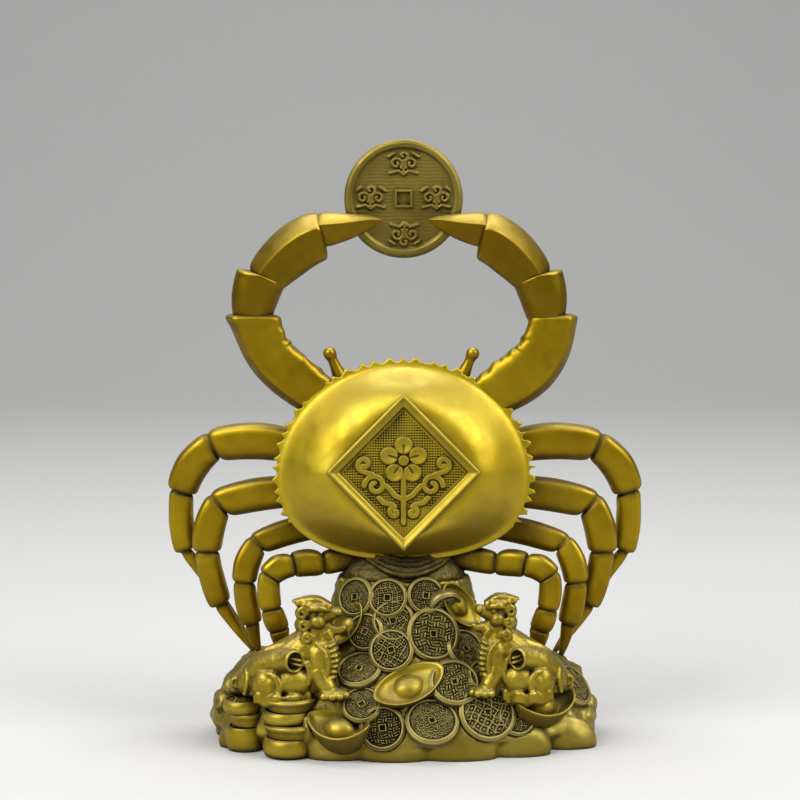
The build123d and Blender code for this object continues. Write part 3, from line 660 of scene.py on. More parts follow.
def carapace_mesh():
    """A pillow between the plaque's diamond and the egg rim, with a toothed lip."""
    profile = 26
    columns = []
    for angle in turns(456):
        reach, egg_angle = rim_reach(angle)
        start, end = 0.84 * plaque_reach(angle), reach - LIP
        edge = reach + 0.2 + tooth(degrees(atan2(cos(egg_angle), sin(egg_angle))))
        column = [(0.55 * start, RIM_HEIGHT + DOME_HEIGHT)]
        for row in range(profile + 1):
            share = row / profile
            height = RIM_HEIGHT + DOME_HEIGHT * (1.0 - share ** 2.0) ** DOME_POWER
            distance = lerp(start, end, share)
            x, y = distance * cos(angle), distance * sin(angle)
            lump = noise.noise(Vector((x * 0.07, y * 0.07, 3.1))) * 0.6
            lump += noise.noise(Vector((x * 0.16, y * 0.16, 8.4))) * 0.3
            column.append((distance, height + lump * sin(pi * min(1.0, share + 0.1))))
        column += [
            (lerp(end, edge, 0.45), RIM_HEIGHT - 0.1),
            (lerp(end, edge, 0.8), RIM_HEIGHT - 0.12),
            (edge, RIM_HEIGHT - 0.2),
            (edge + 0.25, RIM_HEIGHT - 0.6),
            (edge + 0.05, RIM_HEIGHT - 1.1),
            (lerp(end, edge, 0.6), 0.1),
            (end - 2.0, 0.0),
            (end - 9.0, 0.0),
        ]
        columns.append([
            shell_point(distance * cos(angle), PLAQUE_RISE + distance * sin(angle), height)
            for distance, height in column
        ])
    return Shape(skin(list(zip(*columns)))).mesh("carapace")


piece("carapace", carapace_mesh(), POLISHED)


def under_shell_mesh():
    """The crab's breast: a bowl whose plates are parted by grooves running to the middle."""
    rows = 44
    rings = []
    for row in range(rows + 1):
        turn = radians(90.0 * row / rows)
        ring = []
        for angle in turns(220):
            rim = egg_radius(angle) - UNDER_INSET
            distance = lerp(4.0, rim, cos(turn) ** 0.9) if row < rows else 3.0
            x, y = distance * cos(angle), distance * sin(angle)
            depth = UNDER_DEPTH * sin(turn) ** 0.9
            away = smooth_step(10.0, 15.0, abs(x) - 0.18 * (y + 20.0)) * sin(turn) ** 0.5
            line = (y - 0.28 * abs(x) + 30.0) / PLATE_PITCH
            groove = exp(-(((line % 1.0) - 0.5) / 0.07) ** 2)
            swell = sin(pi * ((line + 0.5) % 1.0))
            depth += away * (0.7 * swell - 1.1 * groove)
            ring.append(shell_point(x, y, -depth))
        rings.append(ring)
    return Shape(skin(rings)).mesh("under_shell")


piece("under_shell", under_shell_mesh(), SATIN)


def flap_mesh():
    """The abdomen flap: overlapping plates that taper to a rounded tip."""
    length, foot, tip, plates = 30.0, 12.0, 4.2, 6
    rows, columns = 72, 28
    base = UNDER_DEPTH - 5.0
    rings = []
    for row in range(rows + 1):
        share = row / rows
        place = share * plates
        within = place - floor(place) if share < 1.0 else 1.0
        half = lerp(foot, tip, share ** 1.1) * sqrt(max(0.0, 1.0 - smooth_step(0.86, 1.02, share)))
        half = max(half + 0.35 * sin(pi * within), 0.4)
        ridge = 6.2 - 0.9 * share + 0.55 * sin(pi * min(1.0, within * 1.1)) ** 0.6
        ring = []
        for column in range(columns + 1):
            turn = pi * column / columns
            x = -half * cos(turn)
            rise = ridge * (sin(turn) ** 0.42)
            rise += 0.35 * exp(-(x / 1.4) ** 2)
            ring.append(shell_point(x, FLAP_RISE - SHELL_DROP + length * share, -base - max(rise, 0.0)))
        for column in range(1, columns):
            x = half * (1 - 2 * column / columns)
            ring.append(shell_point(x, FLAP_RISE - SHELL_DROP + length * share, -base + 0.6))
        rings.append(ring)
    return Shape(skin(rings)).mesh("flap")


piece("abdomen_flap", flap_mesh(), SATIN)


# Plaque: a mitred frame round a woven panel with a blossom in relief


def diamond_half(inset):
    """Half width and half height of the plaque's diamond, drawn in by an inset."""
    edge = hypot(PLAQUE_HALF_WIDTH, PLAQUE_HALF_HEIGHT)
    wide = PLAQUE_HALF_WIDTH - inset * edge / PLAQUE_HALF_HEIGHT
    return wide, PLAQUE_HALF_HEIGHT - inset * edge / PLAQUE_HALF_WIDTH


def diamond_ring(inset, height):
    """Points round the plaque's diamond, drawn in by an inset, with small rounded corners."""
    corner, side_points, corner_points = 0.7, 10, 5
    wide, high = diamond_half(inset)
    corners = [Vector((wide, 0)), Vector((0, high)), Vector((-wide, 0)), Vector((0, -high))]
    ring = []
    for index, here in enumerate(corners):
        before = (corners[index - 1] - here).normalized()
        after = (corners[(index + 1) % 4] - here).normalized()
        for step in range(corner_points):
            share = step / (corner_points - 1)
            first = here + before * corner * (1 - share)
            second = here + after * corner * share
            ring.append(first.lerp(second, share))
        start = here + after * corner
        end = corners[(index + 1) % 4] - after * corner
        for step in range(1, side_points):
            ring.append(start.lerp(end, step / side_points))
    return [shell_point(spot.x, PLAQUE_RISE + spot.y, height) for spot in ring]


FRAME_PROFILE = [
    (0.0, PLAQUE_SEAT), (0.0, 13.0), (-0.05, 15.7), (0.15, 16.25), (0.55, 16.6), (1.0, 16.55),
    (1.25, 16.3), (2.5, 15.9), (2.8, 15.85), (3.1, 15.4), (3.4, 14.4), (3.45, 13.2), (3.45, PLAQUE_SEAT),
]


def frame_mesh():
    """The mitred frame, as a closed band round the diamond."""
    rings = [diamond_ring(inset, height) for inset, height in FRAME_PROFILE]
    return Shape(skin(rings, looped=True)).mesh("frame")


piece("plaque_frame", frame_mesh(), FRAME)


def blossom_relief(x, y):
    """Height of the panel's design: a blossom on a stem between curling leaves."""
    petals = np.zeros_like(x)
    for index in range(5):
        angle = radians(90 + 72 * index)
        middle_x, middle_y = 4.1 * cos(angle), 3.2 + 4.1 * sin(angle)
        away = np.hypot(x - middle_x, y - middle_y)
        petal = 1.0 - smooth_step(2.2, 2.75, away)
        vein = raised(x, y, [[(middle_x * 0.45, 3.2 + (middle_y - 3.2) * 0.45), (middle_x, middle_y)]], 0.22)
        petals = np.maximum(petals, petal * (0.75 + 0.35 * smooth_step(0.6, 2.2, away)) - 0.5 * vein)
    heart = np.hypot(x, y - 3.2)
    petals = np.maximum(petals, 1.15 * (1.0 - smooth_step(1.3, 1.7, heart)))
    leaves = []
    for side in (-1, 1):
        leaves.append(spiral((side * 7.6, -3.6), 3.0, 90 - side * 90, side * 1.2))
        leaves.append([(side * 4.6, -3.6), (side * 2.4, -6.2), (0.0, -7.4)])
        leaves.append(spiral((side * 10.6, 2.2), 2.1, -90, side * 1.1))
        leaves.append([(side * 10.6, 0.1), (side * 8.4, -0.6)])
        leaves.append([(side * 3.0, -8.6), (side * 5.4, -8.2), (side * 6.6, -6.9)])
        leaves.append(spiral((side * 2.4, -10.8), 1.6, 90, -side * 0.9))
    leaves.append([(0.0, -13.6), (0.0, -1.0)])
    return np.maximum(petals, raised(x, y, leaves, 0.78, 0.3))


def panel_mesh():
    """The recessed panel: a woven ground with the design standing on it."""
    count = 190
    wide, high = diamond_half(PLAQUE_BORDER)
    first, second = np.meshgrid(np.linspace(-1, 1, count), np.linspace(-1, 1, count), indexing="ij")
    x = wide * (first - second) / 2
    y = high * (first + second) / 2
    weave = np.sin(x * tau / WEAVE_PITCH) * 0.4 + np.sin(y * tau / WEAVE_PITCH) * 0.6
    design = blossom_relief(x / DESIGN_SIZE, y / DESIGN_SIZE)
    ground = np.where(design > 0.05, 0.0, 0.08 * weave)
    border = smooth_step(0.955, 0.985, np.maximum(abs(first), abs(second)))
    height = PANEL_HEIGHT + ground + DESIGN_PROUD * design - 0.25 * border
    vertices = [
        shell_point(x[i, j], PLAQUE_RISE + y[i, j], height[i, j]) for i in range(count) for j in range(count)
    ]
    faces = []
    for i in range(count - 1):
        for j in range(count - 1):
            low = i * count + j
            faces.append((low, low + 1, low + count + 1, low + count))
    rim = [(i, 0) for i in range(count - 1)] + [(count - 1, j) for j in range(count - 1)]
    rim += [(i, count - 1) for i in range(count - 1, 0, -1)] + [(0, j) for j in range(count - 1, 0, -1)]
    start = len(vertices)
    for i, j in rim:
        vertices.append(shell_point(x[i, j], PLAQUE_RISE + y[i, j], PLAQUE_SEAT))
    for index, (i, j) in enumerate(rim):
        after = (index + 1) % len(rim)
        k, m = rim[after]
        faces.append((i * count + j, k * count + m, start + after, start + index))
    hub = len(vertices)
    vertices.append(shell_point(0, PLAQUE_RISE, PLAQUE_SEAT))
    for index in range(len(rim)):
        faces.append((start + index, start + (index + 1) % len(rim), hub))
    mesh = Shape((vertices, faces)).mesh("panel")
    return mark_darkening(mesh, GROUND_SUNK * (1.0 - np.clip(design * 2.0, 0.0, 1.0)))


piece("plaque_panel", panel_mesh(), PANEL)


# Coins


def coin_face(radius, rim, hole, field, design, steps, rows):
    """Rings of (x, y, height) from the middle of a coin's face to its edge."""
    reaches = np.concatenate((
        np.linspace(0.02, 1.0 - 1.5 * rim / radius, rows),
        1.0 - np.linspace(1.4, 0.0, 12) * rim / radius,
    )) * radius
    angle = np.linspace(0, tau, steps, endpoint=False)
    reach, turn = np.meshgrid(reaches, angle, indexing="ij")
    x, y = reach * np.cos(turn), reach * np.sin(turn)
    square = np.maximum(abs(x), abs(y))
    lip = rim * 0.22
    band = smooth_step(radius - rim - lip, radius - rim + lip, reach)
    crown = 1.0 - smooth_step(radius - 0.4 * rim, radius, reach) * 0.45
    edge = hole * 0.36
    frame_band = smooth_step(hole - 0.2 * edge, hole + 0.25 * edge, square)
    frame_band = frame_band * (1.0 - smooth_step(hole + edge, hole + 1.35 * edge, square))
    ground = design(x, y) * (1.0 - smooth_step(radius - rim * 1.6, radius - rim * 1.1, reach))
    ground = ground * smooth_step(hole + 1.5 * edge, hole + 2.0 * edge, square)
    height = -field + field * np.maximum(np.maximum(band * crown, frame_band), ground)
    bottom = 1.0 - smooth_step(hole - 0.25 * edge, hole, square)
    height -= bottom * field * 0.5
    return x, y, height


def coin_sunk(face):
    """How deep each point of a coin's face lies, from 0 on the rim to 1 at the bottom."""
    height = face[2]
    return np.clip(height / height.min() * 1.4, 0.0, 1.0)


def coin_rings(face, place):
    """Rings of points of a coin face, put in place by a matrix."""
    x, y, height = face
    return [
        [place @ Vector((x[i, j], y[i, j], height[i, j])) for j in range(x.shape[1])]
        for i in range(x.shape[0])
    ]


def held_coin_design(x, y):
    """Four cloud scrolls round the middle on a finely combed ground."""
    lines = []
    for dx, dy, turn in CLOUD_PLACES:
        lines += moved(CLOUD, dx, dy, turn, CLOUD_SIZE)
    combed = 0.09 * (0.5 + 0.5 * np.sin(y * tau / 1.15 + 0.6 * np.sin(x * 0.9)))
    return np.maximum(raised(x, y, lines, 0.55, 0.28), combed)


def held_coin_mesh():
    """The large coin, worked on both faces, with a square sinking in the middle of each."""
    half = COIN_THICKNESS / 2
    face_radius = COIN_RADIUS - COIN_ROUNDING
    swell = COIN_RADIUS / face_radius
    face = coin_face(face_radius, COIN_RIM, COIN_HOLE, COIN_FIELD, held_coin_design, 320, 66)
    x, y, height = face
    front, back = (
        Matrix.Translation(COIN_CENTRE + Vector((0, way * half, 0)))
        @ Matrix.Rotation(radians(-90 * way), 4, "X")
        for way in (-1, 1)
    )
    first = coin_rings(face, front)
    second = coin_rings((x, -y, height), back)[::-1]
    waist = []
    for share in (-0.55, 0.0, 0.55):
        ring = []
        for point in first[-1]:
            up = lerp(COIN_CENTRE.z, point.z, swell)
            ring.append(Vector((lerp(COIN_CENTRE.x, point.x, swell), COIN_CENTRE.y + share * half, up)))
        waist.append(ring)
    darkening = coin_sunk(face)
    marks = np.concatenate((darkening, np.zeros((len(waist), x.shape[1])), darkening[::-1]))
    return mark_darkening(Shape(skin(first + waist + second)).mesh("held_coin"), marks)


piece("top_coin", held_coin_mesh(), DARK)


def basket_relief(x, y, pitch):
    """Pairs of short bars laid crosswise, like basketwork."""
    across, up = x / pitch, y / pitch
    level = (np.floor(across) + np.floor(up)) % 2 == 0
    along = np.where(level, across, up) % 1.0
    athwart = np.where(level, up, across) % 1.0
    bars = 1.0 - smooth_step(0.12, 0.3, abs((2 * athwart) % 1.0 - 0.5))
    ends = 1.0 - smooth_step(0.36, 0.47, abs(along - 0.5))
    return bars * ends


def scale_relief(x, y, pitch):
    """Overlapping scales, each of three rings."""
    result = np.zeros_like(x)
    for row in range(12, -13, -1):
        shift = pitch * (row % 2)
        middle = np.round((x - shift) / (2 * pitch)) * 2 * pitch + shift
        away = np.hypot(x - middle, y - row * 0.62 * pitch)
        rings = 0.5 + 0.5 * np.cos(tau * away / (pitch * 0.42))
        result = np.where(away < 1.02 * pitch, smooth_step(0.3, 0.7, rings), result)
    return result


def lattice_relief(x, y, pitch):
    """Slanting ridges that cross, with a bead in each gap."""
    first, second = (x + y) / pitch, (x - y) / pitch
    ridges = np.maximum(abs(first % 1.0 - 0.5), abs(second % 1.0 - 0.5))
    beads = np.hypot(first % 1.0 - 0.5, second % 1.0 - 0.5)
    return np.maximum(smooth_step(0.36, 0.44, ridges), 0.9 * (1.0 - smooth_step(0.13, 0.22, beads)))


def small_coin_relief(x, y, radius, seed):
    """One of three worn ornaments, turned and rubbed in its own way."""
    turn = seed * 0.7
    warp = 0.045 * radius
    x = x + warp * (np.sin(y * 5.3 / radius + seed) + 0.5 * np.sin(y * 11.0 / radius + 2 * seed))
    y = y + warp * (np.sin(x * 4.7 / radius + 3 * seed) + 0.5 * np.sin(x * 12.0 / radius + seed))
    across = x * cos(turn) - y * sin(turn)
    up = x * sin(turn) + y * cos(turn)
    if seed % 3 == 0:
        design = lattice_relief(across, up, 0.34 * radius)
    elif seed % 3 == 1:
        design = basket_relief(x, y, 0.235 * radius)
    else:
        design = scale_relief(across, up, 0.2 * radius)
    worn = 0.66 + 0.34 * np.sin(across * 1.1 + seed) * np.sin(up * 1.4 - seed)
    return worn * design


# Node, place on the mound (across, height, turn, lift and face; the front is -1) and radius
COIN_ROWS = [
    ("coin_front_low", (-6.8, 10.8, 8.0), 7.4),
    ("coin_front_flat", (9.2, 12.6, 20.0, 0.6), 8.8),
    ("coin_front_right", (27.2, 14.6, -6.0, 0.1), 9.6),
    ("coin_middle_right", (16.6, 23.6, 12.0, 0.2), 8.4),
    ("coin_middle_left", (-14.5, 27.0, -15.0, 0.3), 7.6),
    ("coin_middle", (-4.0, 33.2, 20.0), 7.4),
    ("coin_upper_middle", (9.6, 38.0, -4.0), 9.0),
    ("coin_top_left", (-15.6, 49.0, 10.0), 6.6),
    ("coin_top_middle", (-5.2, 49.4), 6.6),
    ("coin_top_right", (7.2, 50.0, -8.0), 6.2),
    ("coin_side_right", (56.5, 18.6, 6.0, 0.1), 7.6),
    ("coin_back_low", (-18.0, 13.0, 12.0, 0.1, 1), 9.4),
    ("coin_back_right", (27.0, 14.0, -10.0, 0.1, 1), 9.0),
    ("coin_back_middle", (-6.0, 30.0, 5.0, 0.0, 1), 8.4),
    ("coin_back_top", (5.0, 44.0, -12.0, 0.0, 1), 8.0),
]
COIN_PROUD = 1.5
SMALL_COIN_THICKNESS = 3.6
SMALL_COIN_ROUNDING = 0.3
SMALL_COIN_HOLE = 0.85
SMALL_COIN_RIM_SHARE = 0.125
COIN_DEPTH = 1.05
DEEP_COIN_DEPTH = 1.5
COIN_SEED = 40
STACK_SEED = 70
BURIED_SEED = 90


def small_coin_mesh(place, radius, seed, proud=COIN_PROUD, depth=COIN_DEPTH, steps=170, rows=40):
    """A small coin with a rolled rim, a square hole and its own relief."""
    def design(x, y):
        return small_coin_relief(x, y, radius, seed)

    rim = SMALL_COIN_RIM_SHARE * radius
    face = coin_face(radius - SMALL_COIN_ROUNDING, rim, SMALL_COIN_HOLE, depth, design, steps, rows)
    rings = coin_rings(face, place @ Matrix.Translation((0, 0, proud)))
    for share, sink in ((1.0, 0.5), (1.0, 1.6), (0.97, SMALL_COIN_THICKNESS)):
        reach = share * radius
        rings.append([
            place @ Vector((reach * cos(angle), reach * sin(angle), proud - sink))
            for angle in turns(steps)
        ])
    return mark_darkening(Shape(skin(rings)).mesh("small_coin"), coin_sunk(face))


for number, (solid, place, radius) in enumerate(COIN_ROWS):
    depth = DEEP_COIN_DEPTH if solid == "coin_front_low" else COIN_DEPTH
    coin = small_coin_mesh(seat(*place), radius, COIN_SEED + number, depth=depth)
    piece(solid, coin, COIN)


# Boat ingots


# Node, place on the mound, and length, width and height
INGOT_ROWS = [
    ("front_ingot", (1.6, 22.6, 30.0, 0.35), (26.0, 14.0, 7.5)),
    ("left_ingot", (-20.8, 9.5, -14.0, 1.6), (22.0, 15.0, 11.0)),
    ("right_ingot", (45.5, 14.5, 4.0, 1.4), (24.0, 15.0, 11.0)),
    ("upper_right_ingot", (18.0, 46.0, -52.0), (19.0, 11.0, 6.0)),
    ("upper_left_ingot", (-18.5, 39.5, 62.0, 0.2), (18.0, 10.0, 6.0)),
    ("back_ingot", (6.0, 22.0, -20.0, 0.6, 1), (22.5, 13.5, 7.5)),
]
# Hull and dish: share of the outline, and height as a part of the ingot's height
INGOT_PROFILE = [
    (0.50, -1.0), (0.62, -0.86), (0.76, -0.62), (0.88, -0.36), (0.96, -0.14), (1.0, -0.01), (0.995, 0.03),
    (0.96, 0.045), (0.915, 0.03), (0.88, -0.02), (0.83, -0.09), (0.74, -0.16), (0.62, -0.20),
]
BOSS_PROFILE = [(1.12, -0.21), (1.0, -0.19), (0.93, -0.10), (0.78, 0.02), (0.55, 0.11), (0.25, 0.155)]


def ingot_mesh(place, length, width, height):
    """A boat ingot: a hull with swept-up ends, a dished top and an oval boss."""
    sweep = 0.2 * height
    rings = []
    rows = [(share * length / 2, share * width / 2, level) for share, level in INGOT_PROFILE]
    rows += [(0.37 * width * share, 0.31 * width * share, level) for share, level in BOSS_PROFILE]
    for half_length, half_width, level in rows:
        ring = []
        for angle in turns(72):
            x = half_length * cos(angle)
            y = half_width * sin(angle) * abs(sin(angle)) ** 0.2
            end = abs(x) / (length / 2)
            z = level * height + sweep * (end ** 2.2 - 0.55) * smooth_step(-1.0, 0.0, level)
            ring.append(place @ Vector((x, y, z + height / 3)))
        rings.append(ring)
    return rounded(Shape(skin(rings)), 1)


for solid, place, (length, width, height) in INGOT_ROWS:
    piece(solid, ingot_mesh(seat(*place), length, width, height), STACK)


# Coin stacks


# Name, place across, inset from the mound's edge, radius; by coin: thickness, shift, share of the radius
STACK_ROWS = [
    ("coin_stack_large", -37.5, 3.5, 8.7,
     [6.4, 4.6, 4.4, 4.2], [0.0, 0.7, -0.6, 0.4], [1.0, 1.03, 0.93, 0.97]),
    ("coin_stack_small", -52.4, 2.0, 6.4, [8.0, 4.6, 4.4], [0.0, 0.5, -0.7], [0.97, 0.86, 1.0]),
]
# Edges of stacked coins: a plump cushion and a lipped disc
CUSHION = [(0.55, 0.0), (0.84, 0.0), (0.93, 0.07), (0.985, 0.24), (1.0, 0.45), (0.985, 0.68), (0.94, 0.88)]
LIPPED = [(0.55, 0.0), (0.80, 0.0), (0.84, 0.1), (0.87, 0.35), (0.93, 0.6), (1.0, 0.78), (0.99, 0.92)]


def stack_mesh(x, inset, radius, thicknesses, shifts, shares, seed):
    """Worn coins lying on each other, by turns plump and lipped, the top faces in relief."""
    draw = random.Random(seed)
    centre_y = MOUND_CENTRE_Y - mound_reach(x, FOOT_HEIGHT) + inset
    shape = Shape()
    darkening = []
    low = 0.0
    steps = 110
    for number, (thickness, shift, part) in enumerate(zip(thicknesses, shifts, shares)):
        size = radius * part
        centre = Vector((x + shift, centre_y - shift / 2, low))
        wobble = draw.uniform(0, 6.28)
        tip = Matrix.Rotation(radians(draw.uniform(-3.0, 3.0) if number else 0.0), 4, "X")
        place = Matrix.Translation(centre) @ tip
        rings = []
        for share, level in (LIPPED if number % 2 else CUSHION):
            ring = []
            for angle in turns(steps):
                reach = size * share * (1.0 + 0.025 * sin(2 * angle + wobble))
                spot = Vector((reach * cos(angle), reach * sin(angle), level * thickness))
                ring.append(place @ spot)
            rings.append(ring)

        def design(across, along):
            return small_coin_relief(across, along, size, seed + number)

        top = coin_face(size * 0.92, 0.12 * size, 1.0, 0.7, design, steps, 24)
        crown = coin_rings(top, place @ Matrix.Translation((0, 0, thickness)))[::-1]
        shape.add(skin(rings + crown))
        hubs = [0.0, 0.0]
        darkening += [0.0] * (len(rings) * steps) + coin_sunk(top)[::-1].ravel().tolist() + hubs
        low += thickness
    return mark_darkening(shape.mesh("stack"), darkening)


for number, (solid, *row) in enumerate(STACK_ROWS):
    piece(solid, stack_mesh(*row, STACK_SEED + number), STACK)


# Legs


# By leg: root and joints from the shell's side, tip on the mound, half widths and bows by segment, how much
# farther out the right leg stands, and how much painted shadow of the shell darkens the roots on the left and
# on the right
LEG_ROWS = [
    dict(root=(-8.0, 10.0, 8.2), joints=[(21.8, 13.0, 8.8), (33.0, 15.0, -7.4), (31.8, 15.0, -28.0)],
         tip=(16.5, 11.0), bulges=[6.2, 5.7, 4.2, 2.0], right=1.0, bows=[1.9, 2.0, 0.8, -0.4],
         dusk=(0.0, 0.3)),
    dict(root=(-9.0, 9.0, -6.5), joints=[(20.0, 7.0, -10.4), (24.0, 7.0, -26.6), (19.6, 9.0, -45.4)],
         tip=(16.0, 6.5), bulges=[5.6, 5.3, 4.2, 2.1], right=0.8, bows=[1.2, 1.0, 0.6, 0.2], dusk=(0.2, 1.3)),
    dict(root=(-16.0, 10.0, -18.4), joints=[(6.8, 2.0, -23.3), (11.0, 0.0, -36.0), (8.5, 2.0, -50.4)],
         tip=(17.5, 1.5), bulges=[4.4, 4.4, 3.9, 2.2], right=4.5, bows=[1.2, 1.0, 0.4, 0.3], dusk=(1.0, 1.7)),
    dict(root=(-31.0, 4.0, -27.0),
         joints=[(-15.4, -1.2, -29.4), (-5.6, -4.6, -29.2), (2.2, -7.0, -32.6), (1.5, -7.0, -43.6),
                 (-1.0, -5.5, -50.8)],
         tip=(26.0, -6.5), bulges=[4.2, 4.5, 4.4, 3.8, 3.8, 3.2], right=4.0,
         bows=[0.3, 0.6, 1.2, 0.5, 0.2, 0.2], dusk=(1.6, 1.6)),
]
# Along a segment: share of its length and fullness
SEGMENT = [
    (0.0, 0.72), (0.02, 0.74), (0.035, 0.82), (0.07, 0.885), (0.15, 0.95), (0.28, 0.995), (0.42, 1.02),
    (0.58, 1.025), (0.72, 1.01), (0.84, 0.985), (0.91, 0.95), (0.95, 0.9), (0.97, 0.83), (0.985, 0.73),
]
TIP_SEGMENT = [
    (0.0, 0.8), (0.02, 0.83), (0.05, 0.96), (0.1, 1.0), (0.25, 0.97), (0.5, 0.8), (0.75, 0.55), (0.93, 0.3),
    (1.0, 0.12),
]
LEG_FLATNESS = 0.84
LEG_POWER = 2.6
JOINT_SHADE = 1.7
LEG_RIDGE_ANGLE = radians(312)
LEG_RIDGE_WIDTH = 0.3
LEG_RIDGE_SHARE = 0.1


def leg_points(row, side):
    """Root, joints and tip of a leg."""
    extra = row["right"] if side > 0 else 0.0
    points = []
    for out, behind, up in [row["root"]] + row["joints"]:
        reach = SHELL_HALF_WIDTH + out + (extra if points else 0.0)
        points.append(Vector((side * reach, SHELL_CENTRE.y + behind, SHELL_CENTRE.z + up)))
    inset, behind = row["tip"]
    tip_x, tip_y = side * (MOUND_HALF_WIDTH - inset + extra), MOUND_CENTRE_Y + behind
    points.append(Vector((tip_x, tip_y, mound_top(tip_x, tip_y) - 1.5)))
    return points


def leg_section(centre, along, half_width, side):
    """A rounded section with a soft ridge where the front meets the outer side."""
    across = Vector((along.z, 0.0, -along.x)).normalized() * -side
    behind = along.cross(across).normalized()
    if behind.y < 0:
        behind.negate()
    ring = []
    for angle in turns(24):
        cosine, sine = cos(angle), sin(angle)
        outer = copysign(abs(cosine) ** (2 / LEG_POWER), cosine)
        depth = LEG_FLATNESS * copysign(abs(sine) ** (2 / LEG_POWER), sine)
        ridge = exp(-((angle - LEG_RIDGE_ANGLE) / LEG_RIDGE_WIDTH) ** 2)
        reach = half_width * (1.0 + LEG_RIDGE_SHARE * ridge)
        ring.append(centre + across * (outer * reach) + behind * (depth * reach))
    return ring


def leg_mesh(row, side):
    """A leg of swelling segments with a fine groove at each joint."""
    joints = leg_points(row, side)
    count = len(joints) - 1
    runs = [(after - before).normalized() for before, after in zip(joints, joints[1:])]
    rings = []
    for number in range(count):
        start, end = joints[number], joints[number + 1]
        last = number == count - 1
        bulge = row["bulges"][number]
        before = row["bulges"][max(number - 1, 0)]
        outward = Vector((runs[number].z, 0.0, -runs[number].x)) * -side
        for share, fullness in (TIP_SEGMENT if last else SEGMENT):
            neck = 1.0 - smooth_step(0.0, 0.3, share)
            width = lerp(bulge, 0.5 * (bulge + min(bulge * 1.25, before)), neck) * fullness
            turn = runs[number].copy()
            if number and share < 0.25:
                turn = turn.lerp(runs[number - 1], 0.5 * (1 - share / 0.25))
            if not last and share > 0.75:
                turn = turn.lerp(runs[number + 1], 0.5 * (share - 0.75) / 0.25)
            centre = start.lerp(end, share) + outward * (row["bows"][number] * sin(pi * share))
            rings.append(leg_section(centre, turn.normalized(), width, side))
    mesh = rounded(Shape(skin(rings)), 1)
    shades = []
    for vertex in mesh.vertices:
        spot = vertex.co / MM
        along = (spot - joints[0]).dot(runs[0]) / (joints[1] - joints[0]).length
        # Painted shadow of the shell over the first segment, fading out near its end.
        shade = row["dusk"][side > 0] * (1.0 - float(smooth_step(0.65, 1.0, along)))
        for joint, before, after in zip(joints[1:], runs, runs[1:]):
            apart = spot - joint
            if apart.length < 9.0:
                gap = abs(apart.dot((before + after).normalized()))
                shade = max(shade, JOINT_SHADE * (1.0 - float(smooth_step(0.4, 2.8, gap))))
        shades.append(shade)
    return mark_darkening(mesh, shades)


for side, side_name in SIDES:
    for number, row in enumerate(LEG_ROWS, start=1):
        piece(f"{side_name}_leg_{number}", leg_mesh(row, side), SATIN)


# Claws


# Along each claw piece: out beyond the grip, behind the coin's middle, up from its centre, half width
WRIST_ROW = [
    (32.8, 3.0, -41.4, 5.6), (32.7, 3.0, -40.0, 6.6), (32.4, 3.0, -37.0, 7.4), (31.8, 3.0, -33.0, 8.2),
    (30.8, 3.0, -29.6, 8.5), (29.8, 3.0, -26.9, 8.7), (29.4, 3.0, -25.6, 9.0), (29.2, 3.0, -25.0, 8.7),
    (29.4, 3.0, -25.6, 7.6), (29.8, 3.0, -26.8, 6.6),
]
PALM_ROW = [
    (29.2, 2.0, -27.6, 6.6), (27.0, 1.8, -24.8, 7.5), (23.8, 1.4, -21.4, 8.2), (20.2, 1.0, -18.1, 8.7),
    (16.5, 0.5, -15.3, 8.8), (12.9, 0.0, -13.3, 8.7), (10.0, 0.0, -12.3, 8.5), (8.4, 0.0, -12.0, 7.4),
]
FINGER_ROW = [
    (10.2, -0.4, -10.5, 5.2), (8.4, -0.8, -10.1, 6.0), (6.0, -1.6, -9.9, 5.7), (2.8, -2.9, -9.4, 5.0),
    (-0.8, -4.0, -8.8, 4.2), (-4.4, -4.7, -7.9, 3.1), (-7.6, -5.0, -7.2, 1.9), (-9.6, -4.8, -7.0, 1.0),
    (-10.7, -4.6, -7.0, 0.4),
]
ARM_ROOT = (-18.0, 8.0, 23.0)
ARM_SHARES = [0.0, 0.12, 0.26, 0.4, 0.54, 0.68, 0.8, 0.9, 0.955, 0.985, 1.0]
# By side: half widths along the arm, place of its upper end across, and bow
ARM_WIDTHS = {
    -1: [7.0, 7.8, 8.3, 8.5, 8.5, 8.5, 8.6, 9.0, 9.7, 9.9, 9.4],
    1: [7.0, 8.2, 9.0, 9.5, 9.6, 9.3, 9.0, 8.6, 8.5, 8.5, 8.0],
}
ARM_END = {-1: 50.6, 1: 50.4}
ARM_BOW = {-1: 3.0, 1: 4.0}
ARM_TOP = 141.8
ARM_STATIONS = 30
ARM_BEHIND = 3.0
CLAW_FLATNESS = 0.8
WRIST_FLATNESS = 0.85

# Claw sections: towards the outer side and towards the back, as parts of the half width and depth
ROUND_SECTION = [
    (1.0, 0.0), (0.93, -0.5), (0.62, -0.88), (0.1, -1.0), (-0.5, -0.93), (-0.9, -0.6), (-1.0, 0.0),
    (-0.88, 0.6), (-0.45, 0.95), (0.2, 1.0), (0.7, 0.85), (0.95, 0.45),
]
RIDGED_SECTION = [
    (1.0, 0.15), (0.82, -0.3), (0.56, -0.72), (0.34, -1.0), (-0.25, -0.86), (-0.86, -0.68),
    (-1.0, -0.3), (-0.95, 0.4), (-0.5, 0.9), (0.1, 1.0), (0.6, 0.9), (0.92, 0.58),
]
ARM_SECTION = [
    (1.0, 0.1), (0.93, -0.38), (0.74, -0.8), (0.62, -0.9), (-0.1, -0.86), (-0.72, -0.82), (-0.96, -0.62),
    (-1.0, -0.1), (-0.7, 0.7), (0.0, 1.0), (0.6, 0.9), (0.92, 0.55),
]
